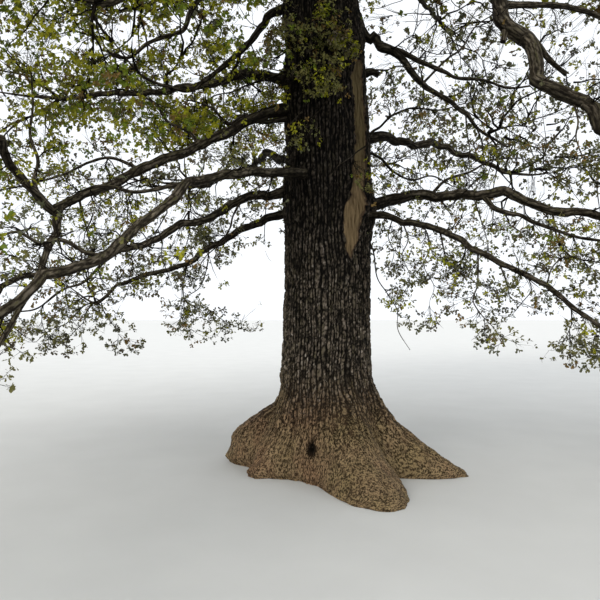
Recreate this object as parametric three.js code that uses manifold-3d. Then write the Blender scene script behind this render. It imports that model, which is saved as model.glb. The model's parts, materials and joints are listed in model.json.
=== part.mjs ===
// An open-grown field oak in spring leaf: one straight trunk on spreading root buttresses, low boughs that
// sweep out and droop, steeper boughs above them, and a rounded crown of separate foliage masses.
// Millimetres, +Z up. The origin is the middle of the flat ground cut. +X is the right of the tree as first
// seen, and -Y is the side it is seen from. Headings turn from +X towards +Y; pitches rise above level.

import * as THREE from "three";
import { mergeVertices } from "three/addons/utils/BufferGeometryUtils.js";
import Module from "manifold-3d";

const wasm = await Module();
wasm.setup();

// Trunk
const TRUNK_TOP = 9200; // where the leader takes over
const BREAST_HEIGHT = 1300;
const BREAST_RADIUS = 475;
const TAPER_LENGTH = 20700; // height over which the radius would run out
const TRUNK_SIDES = 32;
const TRUNK_RINGS = 16;
const TRUNK_CROWDING = 1.6; // above 1 the rings lie closer together near the ground
const TRUNK_SPIN = -13; // degrees; puts a row of corners on the longest buttress
const LEAN = -12; // per metre of height, along X
const SWAY = { along: 50, rate: 0.55 }; // a slow wave along X, in radians per metre
const BOW = { along: 40, rate: 0.7, start: 1 }; // and one along Y

// Root buttresses: heading in degrees, how far each stands out of the trunk at the ground, and how high it
// stands out that far (a blunt one has a shoulder, the others slope from the ground)
const FLARE_HEIGHT = 1150;
const FLARE_POWER = 2.2;
const FLARE_BETWEEN = 190; // what the hollows between the buttresses stand out
const BUTTRESS_HALF_ANGLE = 16;
const SHOULDER_FALL = 500; // height over which a blunt one runs out above its shoulder
const BUTTRESSES = [
  [165, 440, 300],
  [-152, 250, 0],
  [-77, 700, 0],
  [-60, 520, 0],
  [-14, 850, 0],
  [52, 560, 0],
  [112, 600, 0],
];

// The strip on the trunk's right where the bark is gone: how deep it lies, the heading it faces, and its
// outline from its pointed foot up the left edge and down the right one, across and up
const SCAR_DEPTH = 25;
const SCAR_HEADING = -38;
const SCAR_FROM = 60; // the cutter reaches from here, ahead of the origin,
const SCAR_REACH = 700; // out past the bark
const SCAR_OUTLINE = [
  [-130, 2220],
  [-240, 2480],
  [-215, 2820],
  [-119, 2930],
  [-50, 3800],
  [-70, 4200],
  [20, 4440],
  [140, 4200],
  [165, 3800],
  [28, 2980],
  [-44, 2550],
];

// Boughs
const BOUGH_SIDES = 6;
const BOUGH_RINGS = 7;
const ROOT_INSIDE = 0.55; // a bough's line starts this share of the trunk's radius from its middle
const COLLAR_SWELL = 0.35; // extra radius where a bough leaves the trunk
const COLLAR_LENGTH = 320;
const BOUGH_CROWDING = 1.3; // above 1 the rings lie closer together near the root
const BOUGH_TAPER = 0.85; // below 1 a bough thins faster near its root
const WAVE_PITCH = 7; // degrees that a bough's line waves up and down
const WAVE_HEADING = 9;
const WAVES = { pitch: 9, heading: 7, phase: 1.7 }; // in radians over a bough's length
const LEADER_WAVE = 0.4; // the leader waves less
const STEEPEST = 89;

// How boughs in a ring differ: by this much, each by a sine of its own rate
const UNLIKE = {
  wave: { rate: 1.9 },
  heading: { by: 6, rate: 2.1 },
  turn: { by: 5, rate: 1.3 },
  length: { by: 0.06, rate: 5.3 },
  reach: { by: 0.05, rate: 3.7 },
};
const HEIGHT_STEP = 0.618; // of a ring's heights, from one bough to the next

// Fits
const SEAT_GAP = 0.5; // between a bough's root and the trunk
const STEM_GAP = 0.35; // between a mass's stem and the bough's tip
const CELL_MARGIN = 25; // how far each mass keeps inside its own space
const LIMB_CLEARANCE = 25; // between twigs and boughs
const TRUNK_PIECES = 12; // straight pieces that stand for the trunk where twigs keep clear of it
const FUSE_TOLERANCE = 3; // slivers thinner than this go when a mass is fused

// The shoots that grow straight out of the trunk's face
const SHOOTS_HEIGHT = 4150;
const SHOOTS_HEADING = -118;
const SHOOTS_REACH = 620;
const SHOOTS_GIRTH = 22;
const SHOOTS_PITCH = 25;
const SHOOTS_ROOT = 60; // below the bark, before the seat is cut
const SHOOTS_AHEAD = 0.35; // of the reach, from the root to the middle

// Foliage
const CROWN_FLOOR = 1150; // no foliage hangs lower
const SPRAY_LENGTH = 0.45; // of the mass's reach: one blade stands for a spray of leaves
const SPRAY_WIDTH = 0.66; // of the blade's length
const SPRAY_THICKNESS = 0.035; // of the blade's length
const SPRAY_WIDEST = 0.56; // where along its length the blade is widest
const SPRAY_SPACING = 0.42; // of the reach, between twig tips
const SPRAYS_LARGE = 13;
const SPRAYS_SMALL = 8;
const SMALL_REACH = 1500;
const STEM_STEPS = [0.16, 0.3, 0.3]; // of the reach
const STEM_BENDS = [0.1, 0.5, 0.5]; // how far each step turns to the middle
const TWIG_TIP = 12; // twig radius at a spray
const PIPE_POWER = 2.2; // how branch radii add up where twigs meet
const DETOUR = 0.45; // how much a long way round counts when a twig picks its parent
const BEND_COST = 0.3; // and how much a sharp turn counts
const SHORTEST = 0.12; // of the reach
const FORKS = [0.35, 0.7]; // where along a twig later twigs may join it
const ROOT_SHARE = 0.4; // a twig's root radius, as a share of what carries it
const SPRAY_UP = 0.9; // how far a spray's face leans upward
const SPRAY_STRAY = 0.4; // how far a spray strays from its twig's way, more at each new turn
const SPRAY_STRAY_MORE = 0.25;
const STRAIGHTEST = 0.25; // the least cosine between a twig and its spray
const INNERMOST = 0.25; // of the reach, where twig tips lie
const OUTERMOST = 0.64;
const FIRST_SEED = 101;
const TRIES = 600;
const TURNS = 6;
const ROUNDS = 3;

const UP = new THREE.Vector3(0, 0, 1);
const rad = THREE.MathUtils.degToRad;
const vec = (x, y, z) => new THREE.Vector3(x, y, z);

// A repeatable stream of numbers from 0 to 1.
function seeded(seed) {
  let state = seed >>> 0;
  return () => {
    state = (state + 0x6d2b79f5) >>> 0;
    let t = Math.imul(state ^ (state >>> 15), 1 | state);
    t = (t + Math.imul(t ^ (t >>> 7), 61 | t)) ^ t;
    return ((t ^ (t >>> 14)) >>> 0) / 4294967296;
  };
}

// A unit vector from a heading and a pitch in degrees.
function toward(heading, pitch) {
  const level = Math.cos(rad(pitch));
  return vec(level * Math.cos(rad(heading)), level * Math.sin(rad(heading)), Math.sin(rad(pitch)));
}

// A three.js geometry as a manifold solid.
function toSolid(geometry) {
  const bare = geometry.clone();
  bare.deleteAttribute("normal");
  bare.deleteAttribute("uv");
  const merged = mergeVertices(bare, 1e-3);
  const mesh = new wasm.Mesh({
    numProp: 3,
    vertProperties: new Float32Array(merged.attributes.position.array),
    triVerts: new Uint32Array(merged.index.array),
  });
  return new wasm.Manifold(mesh);
}

// A manifold solid as a three.js geometry.
function toGeometry(solid) {
  const mesh = solid.getMesh();
  const geometry = new THREE.BufferGeometry();
  geometry.setAttribute("position", new THREE.BufferAttribute(new Float32Array(mesh.vertProperties), 3));
  geometry.setIndex(new THREE.BufferAttribute(new Uint32Array(mesh.triVerts), 1));
  geometry.computeVertexNormals();
  return geometry;
}

// The largest body of a solid.
function largest(solid) {
  return solid.decompose().reduce((best, body) => (body.volume() > best.volume() ? body : best));
}

// A closed cylinder whose rings are moved one by one: place(ring, x, z) gives the new position.
function ringed(sides, rings, place) {
  const geometry = new THREE.CylinderGeometry(1, 1, 1, sides, rings);
  const at = geometry.getAttribute("position");
  for (let i = 0; i < at.count; i += 1) {
    const ring = Math.round((at.getY(i) + 0.5) * rings);
    const moved = place(ring, at.getX(i), at.getZ(i));
    at.setXYZ(i, moved.x, moved.y, moved.z);
  }
  return geometry;
}

// The middle of the trunk at a height: nearly upright, with a slight lean and sway.
function trunkAxis(z) {
  const m = z / 1000;
  const x = LEAN * m + SWAY.along * Math.sin(SWAY.rate * m);
  const y = BOW.along * (Math.sin(BOW.rate * m + BOW.start) - Math.sin(BOW.start));
  return vec(x, y, z);
}

function trunkRadius(z) {
  return BREAST_RADIUS * (1 - (z - BREAST_HEIGHT) / TAPER_LENGTH);
}

// How far the root flare stands out of the trunk at a height and an angle in radians.
function flare(z, angle) {
  const slope = Math.pow(Math.max(0, 1 - z / FLARE_HEIGHT), FLARE_POWER);
  let out = FLARE_BETWEEN * slope;
  for (const [heading, reach, shoulder] of BUTTRESSES) {
    const blunt = 1 - THREE.MathUtils.smoothstep(z, shoulder, shoulder + SHOULDER_FALL);
    const off = Math.atan2(Math.sin(angle - rad(heading)), Math.cos(angle - rad(heading)));
    const across = off / rad(BUTTRESS_HALF_ANGLE);
    out += reach * (shoulder > 0 ? blunt : slope) * Math.exp(-across * across);
  }
  return out;
}

// The trunk's solid, with its surface moved out by grow.
function trunkSolid(grow) {
  const geometry = ringed(TRUNK_SIDES, TRUNK_RINGS, (ring, x, z) => {
    const height = TRUNK_TOP * (ring / TRUNK_RINGS) ** TRUNK_CROWDING;
    const angle = Math.atan2(-z, x) + rad(TRUNK_SPIN);
    const radius = (trunkRadius(height) + flare(height, angle) + grow) * Math.hypot(x, z);
    const middle = trunkAxis(height);
    const shift = ring === TRUNK_RINGS ? Math.max(0, grow) : 0;
    return vec(middle.x + radius * Math.cos(angle), middle.y + radius * Math.sin(angle), height + shift);
  });
  return toSolid(geometry);
}

// The solid that takes the bark off the scar: its outline, pushed into the trunk from its own heading.
function scarCutter() {
  const side = toward(SCAR_HEADING, 0);
  const across = toward(SCAR_HEADING + 90, 0);
  const outline = new THREE.Shape(SCAR_OUTLINE.map(([x, y]) => new THREE.Vector2(x, y)));
  const prism = new THREE.ExtrudeGeometry(outline, { depth: SCAR_REACH, bevelEnabled: false });
  prism.applyMatrix4(new THREE.Matrix4().makeBasis(across, UP, side));
  prism.translate(side.x * SCAR_FROM, side.y * SCAR_FROM, 0);
  return toSolid(prism).subtract(trunkSolid(-SCAR_DEPTH));
}

// One row of a bough. height: where its root leaves the trunk. heading: at the root and at the tip.
// pitch: at the root, halfway and at the tip. girth: root and tip radius. wave: phase of its gentle waves.
// mass: the reach of the foliage mass at its tip, and how far the mass's middle lies ahead of the tip and
// above it, as shares of that reach.
function bough(name, height, heading, pitch, length, girth, wave, mass) {
  return { name, height, heading, pitch, length, girth, wave, mass };
}

// Boughs that repeat round the trunk, each a little unlike the next.
function ring(name, count, first, heights, pitch, length, girth, mass) {
  return Array.from({ length: count }, (_, k) => {
    const unlike = ({ by, rate }) => by * Math.sin(rate * k + first);
    const wave = UNLIKE.wave.rate * k + first;
    const heading = first + (360 / count) * k + unlike(UNLIKE.heading);
    const height = heights[0] + (heights[1] - heights[0]) * ((HEIGHT_STEP * k) % 1);
    const ownLength = length * (1 + unlike(UNLIKE.length));
    const ownMass = [mass[0] * (1 + unlike(UNLIKE.reach)), mass[1], mass[2]];
    const turned = [heading, heading + UNLIKE.turn.by * Math.cos(UNLIKE.turn.rate * k)];
    return bough(`${name}_${k + 1}`, height, turned, pitch, ownLength, girth, wave, ownMass);
  });
}

const BOUGHS = [
  bough("left_mid", 3850, [198, 222], [-1, -34, 34], 4000, [68, 38], 4.9, [1800, 0.5, 0.3]),
  bough("left_front_low", 3100, [239, 230], [-1, -28, -11], 4050, [58, 34], 5.6, [1900, 0.8, 0.35]),
  bough("left_low", 3000, [187, 182], [-12, -23, -50], 3850, [58, 32], 2.1, [1900, 0.7, 0.3]),
  bough("left_droop", 2790, [160, 170], [-15, -23, -21], 2450, [42, 22], 0.7, [1150, 0.5, 0]),
  bough("left_upper", 4950, [182, 200], [-4, -52, -30], 1450, [54, 28], 1.2, [1400, 0.7, 0.5]),
  bough("front_left_hang", 6200, [216, 232], [-6, -46, -52], 2750, [74, 38], 2.2, [1500, 0.3, -0.1]),
  bough("right_low", 2700, [-6, -1], [20, -11, -17], 4500, [74, 38], 1.4, [2050, 0.6, 0.3]),
  bough("right_droop", 2630, [-28, -11], [9, -33, -32], 3200, [46, 24], 2.1, [1250, 0.3, 0.1]),
  bough("right_upper", 4940, [4, 7], [-24, -44, -35], 1750, [66, 32], 4.9, [1550, 0.7, 0.05]),
  bough("front_right_hang", 6470, [-41, -6], [-25, -60, -22], 5050, [90, 48], 0, [1800, 0.6, 0.3]),
  bough("back_right_low", 3500, [36, 42], [26, 4, -4], 2700, [70, 38], 2.6, [2100, 0.8, 0.1]),
  bough("back_low", 3950, [84, 80], [26, 4, -4], 2700, [70, 38], 3.4, [2100, 0.8, 0.1]),
  bough("back_left_low", 3350, [122, 126], [22, 4, -6], 2700, [70, 38], 5, [2100, 0.8, 0.15]),
  bough("left_back_low", 4150, [154, 162], [16, 4, -6], 2900, [68, 38], 0.9, [2000, 0.9, 0.15]),
  ...ring("middle", 6, 8, [5900, 6800], [30, 10, 2], 4600, [96, 44], [2600, 0.7, 0.1]),
  ...ring("high", 5, 32, [7900, 8500], [42, 27, 20], 4300, [94, 42], [2600, 0.65, 0.3]),
  ...ring("crown", 3, 64, [8700, 8830], [34, 58, 44], 3900, [94, 44], [2350, 0.7, 0.3]),
  bough("leader", TRUNK_TOP, [120, 60], [88, 84, 86], 3600, [262, 60], 1, [2300, 0.6, 0.5]),
];

// The points along a bough's middle, from inside the trunk to its tip.
function route(row) {
  const leader = row.height >= TRUNK_TOP;
  const inside = leader ? 0 : ROOT_INSIDE * trunkRadius(row.height);
  const start = trunkAxis(row.height).addScaledVector(toward(row.heading[0], 0), inside);
  if (leader) start.z += SEAT_GAP;
  const points = [start];
  const [root, middle, tip] = row.pitch;
  for (let k = 0; k < BOUGH_RINGS; k += 1) {
    const from = ringShare(k);
    const to = ringShare(k + 1);
    const u = (from + to) / 2;
    const wave = leader ? LEADER_WAVE : 1;
    const pitch = root * (1 - u) * (1 - 2 * u) + 4 * middle * u * (1 - u) + tip * u * (2 * u - 1);
    const sway = WAVE_PITCH * wave * Math.sin(WAVES.pitch * u + row.wave);
    const turn = WAVE_HEADING * wave * Math.sin(WAVES.heading * u + WAVES.phase * row.wave);
    const heading = row.heading[0] + (row.heading[1] - row.heading[0]) * u + turn;
    const way = toward(heading, Math.min(STEEPEST, pitch + sway));
    const step = way.multiplyScalar(row.length * (to - from));
    points.push(points[k].clone().add(step));
  }
  return points;
}

// Rings lie closer together near a bough's root.
function ringShare(k) {
  return (k / BOUGH_RINGS) ** BOUGH_CROWDING;
}

// A bough's radius at a share of its length.
function girthAt(row, u) {
  const [root, tip] = row.girth;
  const out = (u * row.length) / COLLAR_LENGTH;
  const swell = row.height >= TRUNK_TOP ? 0 : COLLAR_SWELL * Math.exp(-out * out);
  return (root + (tip - root) * u ** BOUGH_TAPER) * (1 + swell);
}

// The direction of each ring along a route, and two directions across it that don't twist. The first ring
// may face its own way.
function frames(points, first = null) {
  let across = null;
  return points.map((point, k) => {
    const before = points[Math.max(0, k - 1)];
    const after = points[Math.min(points.length - 1, k + 1)];
    const along = k === 0 && first ? first : after.clone().sub(before).normalize();
    if (!across) across = Math.abs(along.z) < 0.9 ? UP.clone() : vec(1, 0, 0);
    across = across.clone().addScaledVector(along, -across.dot(along)).normalize();
    return { point, along, across, beside: across.clone().cross(along) };
  });
}

// A bough's solid, its surface moved out by grow.
function boughSolid(row, grow) {
  const stations = frames(row.points, row.height >= TRUNK_TOP ? UP : null);
  const geometry = ringed(BOUGH_SIDES, BOUGH_RINGS, (ring, x, z) => {
    const { point, across, beside } = stations[ring];
    const radius = girthAt(row, ringShare(ring)) + grow;
    return point.clone().addScaledVector(across, radius * x).addScaledVector(beside, radius * z);
  });
  return toSolid(geometry);
}

// The space that a bough's mass may fill: a ball round a middle ahead of the bough's tip.
function massSpace(row) {
  const tip = row.points[BOUGH_RINGS];
  const last = tip.clone().sub(row.points[BOUGH_RINGS - 1]).normalize();
  const [reach, ahead, lift] = row.mass;
  const middle = tip.clone().addScaledVector(vec(last.x, last.y, Math.max(0, last.z)), ahead * reach);
  middle.z += lift * reach;
  return { name: row.name, base: tip, along: last, middle, reach, girth: row.girth[1] };
}

// The space of the shoots on the trunk's face, their stem rooted inside it.
function shootSpace() {
  const along = toward(SHOOTS_HEADING, SHOOTS_PITCH);
  const root = trunkRadius(SHOOTS_HEIGHT) - SHOOTS_ROOT;
  const base = trunkAxis(SHOOTS_HEIGHT).addScaledVector(toward(SHOOTS_HEADING, 0), root);
  const middle = base.clone().addScaledVector(along, SHOOTS_AHEAD * SHOOTS_REACH);
  return { name: "trunk_shoots", base, along, middle, reach: SHOOTS_REACH, girth: SHOOTS_GIRTH };
}

// True where a point lies in its own mass's space and in no other's: the spaces meet at flat faces.
function inSpace(space, spaces, point) {
  const own = point.distanceToSquared(space.middle) - space.reach ** 2;
  if (point.z < CROWN_FLOOR) return false;
  if (own > 0) return false;
  return spaces.every((other) => {
    if (other === space) return true;
    const apart = other.middle.distanceTo(space.middle);
    const theirs = point.distanceToSquared(other.middle) - other.reach ** 2;
    return theirs - own > 2 * CELL_MARGIN * apart;
  });
}

// The shortest distance between two straight pieces a-b and c-d.
function gapBetween(a, b, c, d) {
  const ab = b.clone().sub(a);
  const cd = d.clone().sub(c);
  const ac = a.clone().sub(c);
  const aa = ab.dot(ab);
  const cc = cd.dot(cd);
  const mixed = ab.dot(cd);
  const along = ab.dot(ac);
  const other = cd.dot(ac);
  const spread = aa * cc - mixed * mixed;
  const clamp = (x) => Math.min(1, Math.max(0, x));
  let s = spread > 1e-6 ? clamp((mixed * other - cc * along) / spread) : 0;
  const t = clamp((mixed * s + other) / cc);
  s = clamp((mixed * t - along) / aa);
  return a.clone().addScaledVector(ab, s).distanceTo(c.clone().addScaledVector(cd, t));
}

// True where a twig from a to b keeps clear of every bough and the trunk.
function clearOfLimbs(a, b, radius, limbs) {
  return limbs.every(({ from, to, thick }) => gapBetween(a, b, from, to) > thick + radius + LIMB_CLEARANCE);
}

// The trunk and the boughs as straight pieces with a thickness.
function limbPieces(rows) {
  const pieces = [];
  for (let k = 0; k < TRUNK_PIECES; k += 1) {
    const low = (TRUNK_TOP * k) / TRUNK_PIECES;
    const high = (TRUNK_TOP * (k + 1)) / TRUNK_PIECES;
    pieces.push({ from: trunkAxis(low), to: trunkAxis(high), thick: trunkRadius(low) + flare(low, 0) });
  }
  for (const row of rows) {
    for (let k = 0; k < BOUGH_RINGS; k += 1) {
      const thick = girthAt(row, ringShare(k));
      pieces.push({ from: row.points[k], to: row.points[k + 1], thick, owner: row.name, ring: k });
    }
  }
  return pieces;
}

// Grows one mass's twigs. Tips are thrown into the space, and each joins the stem or an earlier twig where
// the way from the stem's foot is shortest. Returns the joints of the stem, and the twigs.
function growTwigs(space, spaces, limbs, walls, random) {
  const { base, along, middle, reach } = space;
  const others = limbs.filter((limb) => !(limb.owner === space.name && limb.ring >= BOUGH_RINGS - 1));
  const stem = [{ point: base.clone().addScaledVector(along, STEM_GAP), path: 0, load: 0, parent: null }];
  let heading = along.clone();
  STEM_STEPS.forEach((share, k) => {
    const last = stem[k];
    const inward = middle.clone().sub(last.point).normalize();
    heading = heading.clone().lerp(inward, STEM_BENDS[k]).normalize();
    const point = last.point.clone().addScaledVector(heading, share * reach);
    stem.push({ point, path: last.path + share * reach, load: 0, parent: last });
  });

  const wanted = reach < SMALL_REACH ? SPRAYS_SMALL : SPRAYS_LARGE;
  const joints = stem.slice(1);
  const twigs = [];
  for (let round = 0; round < ROUNDS; round += 1) {
    for (const tip of throwTips(space, spaces, twigs, random, wanted - twigs.length)) {
      const joint = bestJoint(tip, joints, space, others);
      const twig = joint && leafOut(space, spaces, walls, joint, tip, random);
      if (!twig) continue;
      twigs.push(twig);
      for (const share of FORKS) {
        const point = joint.point.clone().lerp(tip, share);
        const path = joint.path + share * joint.point.distanceTo(tip);
        joints.push({ point, path, load: 0, parent: joint, heading: twig.way });
      }
    }
  }
  return { stem, twigs };
}

// Twig tips thrown evenly into a space, nearest to the stem's foot first.
function throwTips(space, spaces, twigs, random, count) {
  const { base, middle, reach } = space;
  const tips = [];
  for (let k = 0; k < TRIES && tips.length < count; k += 1) {
    const lift = 2 * random() - 1;
    const turn = 2 * Math.PI * random();
    const out = reach * (INNERMOST + (OUTERMOST - INNERMOST) * Math.sqrt(random()));
    const level = Math.sqrt(1 - lift * lift);
    const tip = vec(level * Math.cos(turn), level * Math.sin(turn), lift).multiplyScalar(out).add(middle);
    const taken = [...tips, ...twigs.map((twig) => twig.tip)];
    const apart = taken.every((other) => other.distanceTo(tip) > SPRAY_SPACING * reach);
    if (apart && inSpace(space, spaces, tip)) tips.push(tip);
  }
  return tips.sort((a, b) => a.distanceTo(base) - b.distanceTo(base));
}

// The joint from which a tip is the shortest way from the stem's foot, with no sharp turn back.
function bestJoint(tip, joints, space, others) {
  let best = null;
  for (const joint of joints) {
    const way = tip.clone().sub(joint.point);
    const straight = way.length();
    const bend = joint.heading ? 1 - joint.heading.dot(way.normalize()) : 0;
    const cost = straight * (1 + BEND_COST * bend) + DETOUR * joint.path;
    const better = straight > SHORTEST * space.reach && (!best || cost < best.cost);
    if (better && clearOfLimbs(joint.point, tip, 2 * TWIG_TIP, others)) best = { joint, cost };
  }
  return best && best.joint;
}

// A twig from a joint to a tip with its spray turned outward, or null where no turn keeps to the space.
function leafOut(space, spaces, walls, from, tip, random) {
  const way = tip.clone().sub(from.point).normalize();
  const away = tip.clone().sub(space.middle).normalize();
  for (let turn = 0; turn < TURNS; turn += 1) {
    const stray = vec(random() - 0.5, random() - 0.5, random() - 0.5);
    const far = SPRAY_STRAY + SPRAY_STRAY_MORE * turn;
    const along = way.clone().add(away).addScaledVector(stray, far).normalize();
    const tilt = vec(random() - 0.5, random() - 0.5, SPRAY_UP);
    const face = tilt.addScaledVector(along, -tilt.dot(along)).normalize();
    const twig = { from, tip, way, along, face, length: SPRAY_LENGTH * space.reach };
    const shoot = shootSolid(twig, 2 * TWIG_TIP);
    const straight = along.dot(way) > STRAIGHTEST;
    if (straight && shoot.blade.every((p) => inSpace(space, spaces, p)) && isClear(shoot, walls)) return twig;
  }
  return null;
}

// The radius that a share of the stem's load needs.
function twigRadius(load, whole, stemRadius) {
  const full = stemRadius / TWIG_TIP;
  return TWIG_TIP * Math.max(1, full * (Math.max(1, load) / whole) ** (1 / PIPE_POWER));
}

// A three-sided stem through its joints, its foot as thick as the bough's tip and flat against it.
function stemSolid(stem, along, stemRadius) {
  const stations = frames(stem.map((joint) => joint.point), along);
  const whole = stem[0].load;
  const geometry = ringed(3, stem.length - 1, (ring, x, z) => {
    const { point, across, beside } = stations[ring];
    const radius = ring === 0 ? stemRadius : twigRadius(stem[ring].load, whole, stemRadius);
    return point.clone().addScaledVector(across, radius * x).addScaledVector(beside, radius * z);
  });
  return toSolid(geometry);
}

// Three points round a middle, in a plane across a direction, the first one towards face.
function threeRound(middle, along, face, radius) {
  const up = face.clone().addScaledVector(along, -face.dot(along)).normalize();
  const across = up.clone().cross(along);
  return [90, 210, 330].map((turn) =>
    middle
      .clone()
      .addScaledVector(across, radius * Math.cos(rad(turn)))
      .addScaledVector(up, radius * Math.sin(rad(turn))),
  );
}

// A three-sided twig that opens into a spray: one blade, eight faces beyond its neck, widest past its middle.
function shootSolid(twig, rootRadius) {
  const { tip: neck, way, along, face, length } = twig;
  const across = face.clone().cross(along);
  const heart = neck.clone().addScaledVector(along, SPRAY_WIDEST * length);
  const wide = (SPRAY_WIDTH * length) / 2;
  const thick = (SPRAY_THICKNESS * length) / 2;
  const blade = [
    heart.clone().addScaledVector(across, wide),
    heart.clone().addScaledVector(face, thick),
    heart.clone().addScaledVector(across, -wide),
    heart.clone().addScaledVector(face, -thick),
    neck.clone().addScaledVector(along, length),
  ];
  const foot = threeRound(twig.from.point, way, face, rootRadius);
  const collar = threeRound(neck, way.clone().add(along).normalize(), face, TWIG_TIP);
  const faces = [0, 2, 1];
  for (let k = 0; k < 3; k += 1) {
    const next = (k + 1) % 3;
    faces.push(k, next, 3 + next, k, 3 + next, 3 + k);
  }
  const [up, left, right, toRight, top, toLeft, under, point] = [3, 4, 5, 6, 7, 8, 9, 10];
  faces.push(up, left, toLeft, left, right, under, right, up, toRight, up, top, toRight, up, toLeft, top);
  faces.push(left, under, toLeft, right, toRight, under);
  faces.push(toRight, top, point, top, toLeft, point, toLeft, under, point, under, toRight, point);
  const mesh = new wasm.Mesh({
    numProp: 3,
    vertProperties: new Float32Array([...foot, ...collar, ...blade].flatMap((p) => p.toArray())),
    triVerts: new Uint32Array(faces),
  });
  return { solid: new wasm.Manifold(mesh), points: [...foot, ...collar, ...blade], blade };
}

// True where a shoot touches none of the limbs near it.
function isClear(shoot, walls) {
  const box = new THREE.Box3().setFromPoints(shoot.points);
  return walls.every((wall) => !wall.box.intersectsBox(box) || wall.solid.intersect(shoot.solid).isEmpty());
}

// A solid with the box round it.
function walled(solid) {
  const { min, max } = solid.boundingBox();
  return { solid, box: new THREE.Box3(vec(...min), vec(...max)) };
}

// One foliage mass: its stem, and twigs that each open into a spray, fused into one body.
function massSolid(space, spaces, limbs, walls, seed) {
  const { stem, twigs } = growTwigs(space, spaces, limbs, walls, seeded(seed));
  for (const twig of twigs) {
    for (let joint = twig.from; joint; joint = joint.parent) joint.load += 1;
  }
  const pieces = [stemSolid(stem, space.along, space.girth)];
  for (const twig of twigs) {
    const carrier = twigRadius(twig.from.load, stem[0].load, space.girth);
    pieces.push(shootSolid(twig, ROOT_SHARE * carrier).solid);
  }
  return wasm.Manifold.union(pieces).simplify(FUSE_TOLERANCE);
}

const BARK = { color: 0x4a4138, roughness: 0.95 };
const YOUNG_LEAF = { color: 0x8a9434, roughness: 0.7 };

const tree = new THREE.Group();

// A solid as a named mesh with a material of its own.
function add(name, solid, { color, roughness }) {
  const material = new THREE.MeshStandardMaterial({ color, roughness, metalness: 0, flatShading: true });
  const mesh = new THREE.Mesh(toGeometry(solid), material);
  mesh.name = name;
  tree.add(mesh);
}

for (const row of BOUGHS) row.points = route(row);

const seat = trunkSolid(SEAT_GAP);
add("trunk", trunkSolid(0).subtract(scarCutter()), BARK);

for (const row of BOUGHS) {
  const whole = boughSolid(row, 0);
  add(`bough_${row.name}`, row.height >= TRUNK_TOP ? whole : largest(whole.subtract(seat)), BARK);
}

const walls = [walled(seat), ...BOUGHS.map((row) => walled(boughSolid(row, LIMB_CLEARANCE)))];
const spaces = [...BOUGHS.map(massSpace), shootSpace()];
const limbs = limbPieces(BOUGHS);
spaces.forEach((space, k) => {
  const mass = massSolid(space, spaces, limbs, walls, FIRST_SEED + k);
  add(`foliage_${space.name}`, largest(mass.subtract(seat)), YOUNG_LEAF);
});

export default tree;
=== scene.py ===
"""An open-grown oak in young spring leaf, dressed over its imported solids.

Bark with real relief goes over the trunk and the boughs, and each foliage mass becomes branches, twigs and
leaves that grow on from its bough. Metres, +Z up, with the origin in the middle of the flat ground cut. The
tree is first seen from -Y. Headings turn from +X towards +Y and pitches rise above level, both in degrees.
"""

import json
import logging
import math
from dataclasses import dataclass, field, replace
from enum import Enum

import bpy
import numpy as np
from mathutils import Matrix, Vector, noise

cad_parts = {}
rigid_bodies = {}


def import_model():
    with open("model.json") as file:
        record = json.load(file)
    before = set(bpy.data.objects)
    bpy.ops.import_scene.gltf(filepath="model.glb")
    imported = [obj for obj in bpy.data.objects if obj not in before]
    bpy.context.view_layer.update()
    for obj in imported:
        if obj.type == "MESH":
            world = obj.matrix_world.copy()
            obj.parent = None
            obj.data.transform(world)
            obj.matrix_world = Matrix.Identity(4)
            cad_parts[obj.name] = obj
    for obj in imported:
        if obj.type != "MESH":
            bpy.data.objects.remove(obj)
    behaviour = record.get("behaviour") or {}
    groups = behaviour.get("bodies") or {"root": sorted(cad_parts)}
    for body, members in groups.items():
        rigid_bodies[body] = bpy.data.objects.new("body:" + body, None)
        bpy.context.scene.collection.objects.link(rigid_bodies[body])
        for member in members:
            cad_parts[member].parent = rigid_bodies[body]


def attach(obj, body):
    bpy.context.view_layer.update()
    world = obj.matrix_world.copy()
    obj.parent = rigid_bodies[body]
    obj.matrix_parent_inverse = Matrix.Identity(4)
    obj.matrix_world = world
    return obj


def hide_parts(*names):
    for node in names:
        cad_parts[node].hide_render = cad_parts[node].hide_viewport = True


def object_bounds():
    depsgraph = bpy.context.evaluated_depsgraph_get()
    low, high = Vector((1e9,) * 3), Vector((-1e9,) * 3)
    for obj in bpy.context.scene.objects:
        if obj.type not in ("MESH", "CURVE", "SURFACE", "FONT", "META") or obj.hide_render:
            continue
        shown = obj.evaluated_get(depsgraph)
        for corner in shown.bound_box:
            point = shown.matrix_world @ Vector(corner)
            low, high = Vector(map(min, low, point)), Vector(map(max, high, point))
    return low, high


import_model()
CAD_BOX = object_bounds()

log = logging.getLogger("oak")
Array = np.ndarray
Piece = bpy.types.Object
Material = bpy.types.Material
Socket = bpy.types.NodeSocket
Colour = tuple[float, float, float]
Place = tuple[float, float, float]
LimbLine = tuple[Array, Array, Array]

BODY = "root"
UP = np.array([0.0, 0.0, 1.0])
MOST_TRIANGLES = 190_000
NOISE_SEED = 5
WHITE = (1.0, 1.0, 1.0)


class Slot(Enum):
    """The record's material slots."""

    TRUNK = "trunk_bark"
    BOUGH = "bough_bark"
    FOLIAGE = "foliage"


def toward(heading: float, pitch: float) -> Array:
    """The unit vector of a heading and a pitch, in degrees."""
    turn, rise = math.radians(heading), math.radians(pitch)
    return np.array([math.cos(rise) * math.cos(turn), math.cos(rise) * math.sin(turn), math.sin(rise)])


def smoothstep(low: float, high: float, x: Array) -> Array:
    """A smooth step from 0 at low to 1 at high."""
    t = np.clip((x - low) / (high - low), 0.0, 1.0)
    return t * t * (3 - 2 * t)


def unit(vectors: Array) -> Array:
    """Vectors at length 1, along the last axis."""
    return vectors / np.maximum(np.linalg.norm(vectors, axis=-1, keepdims=True), 1e-9)


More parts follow.
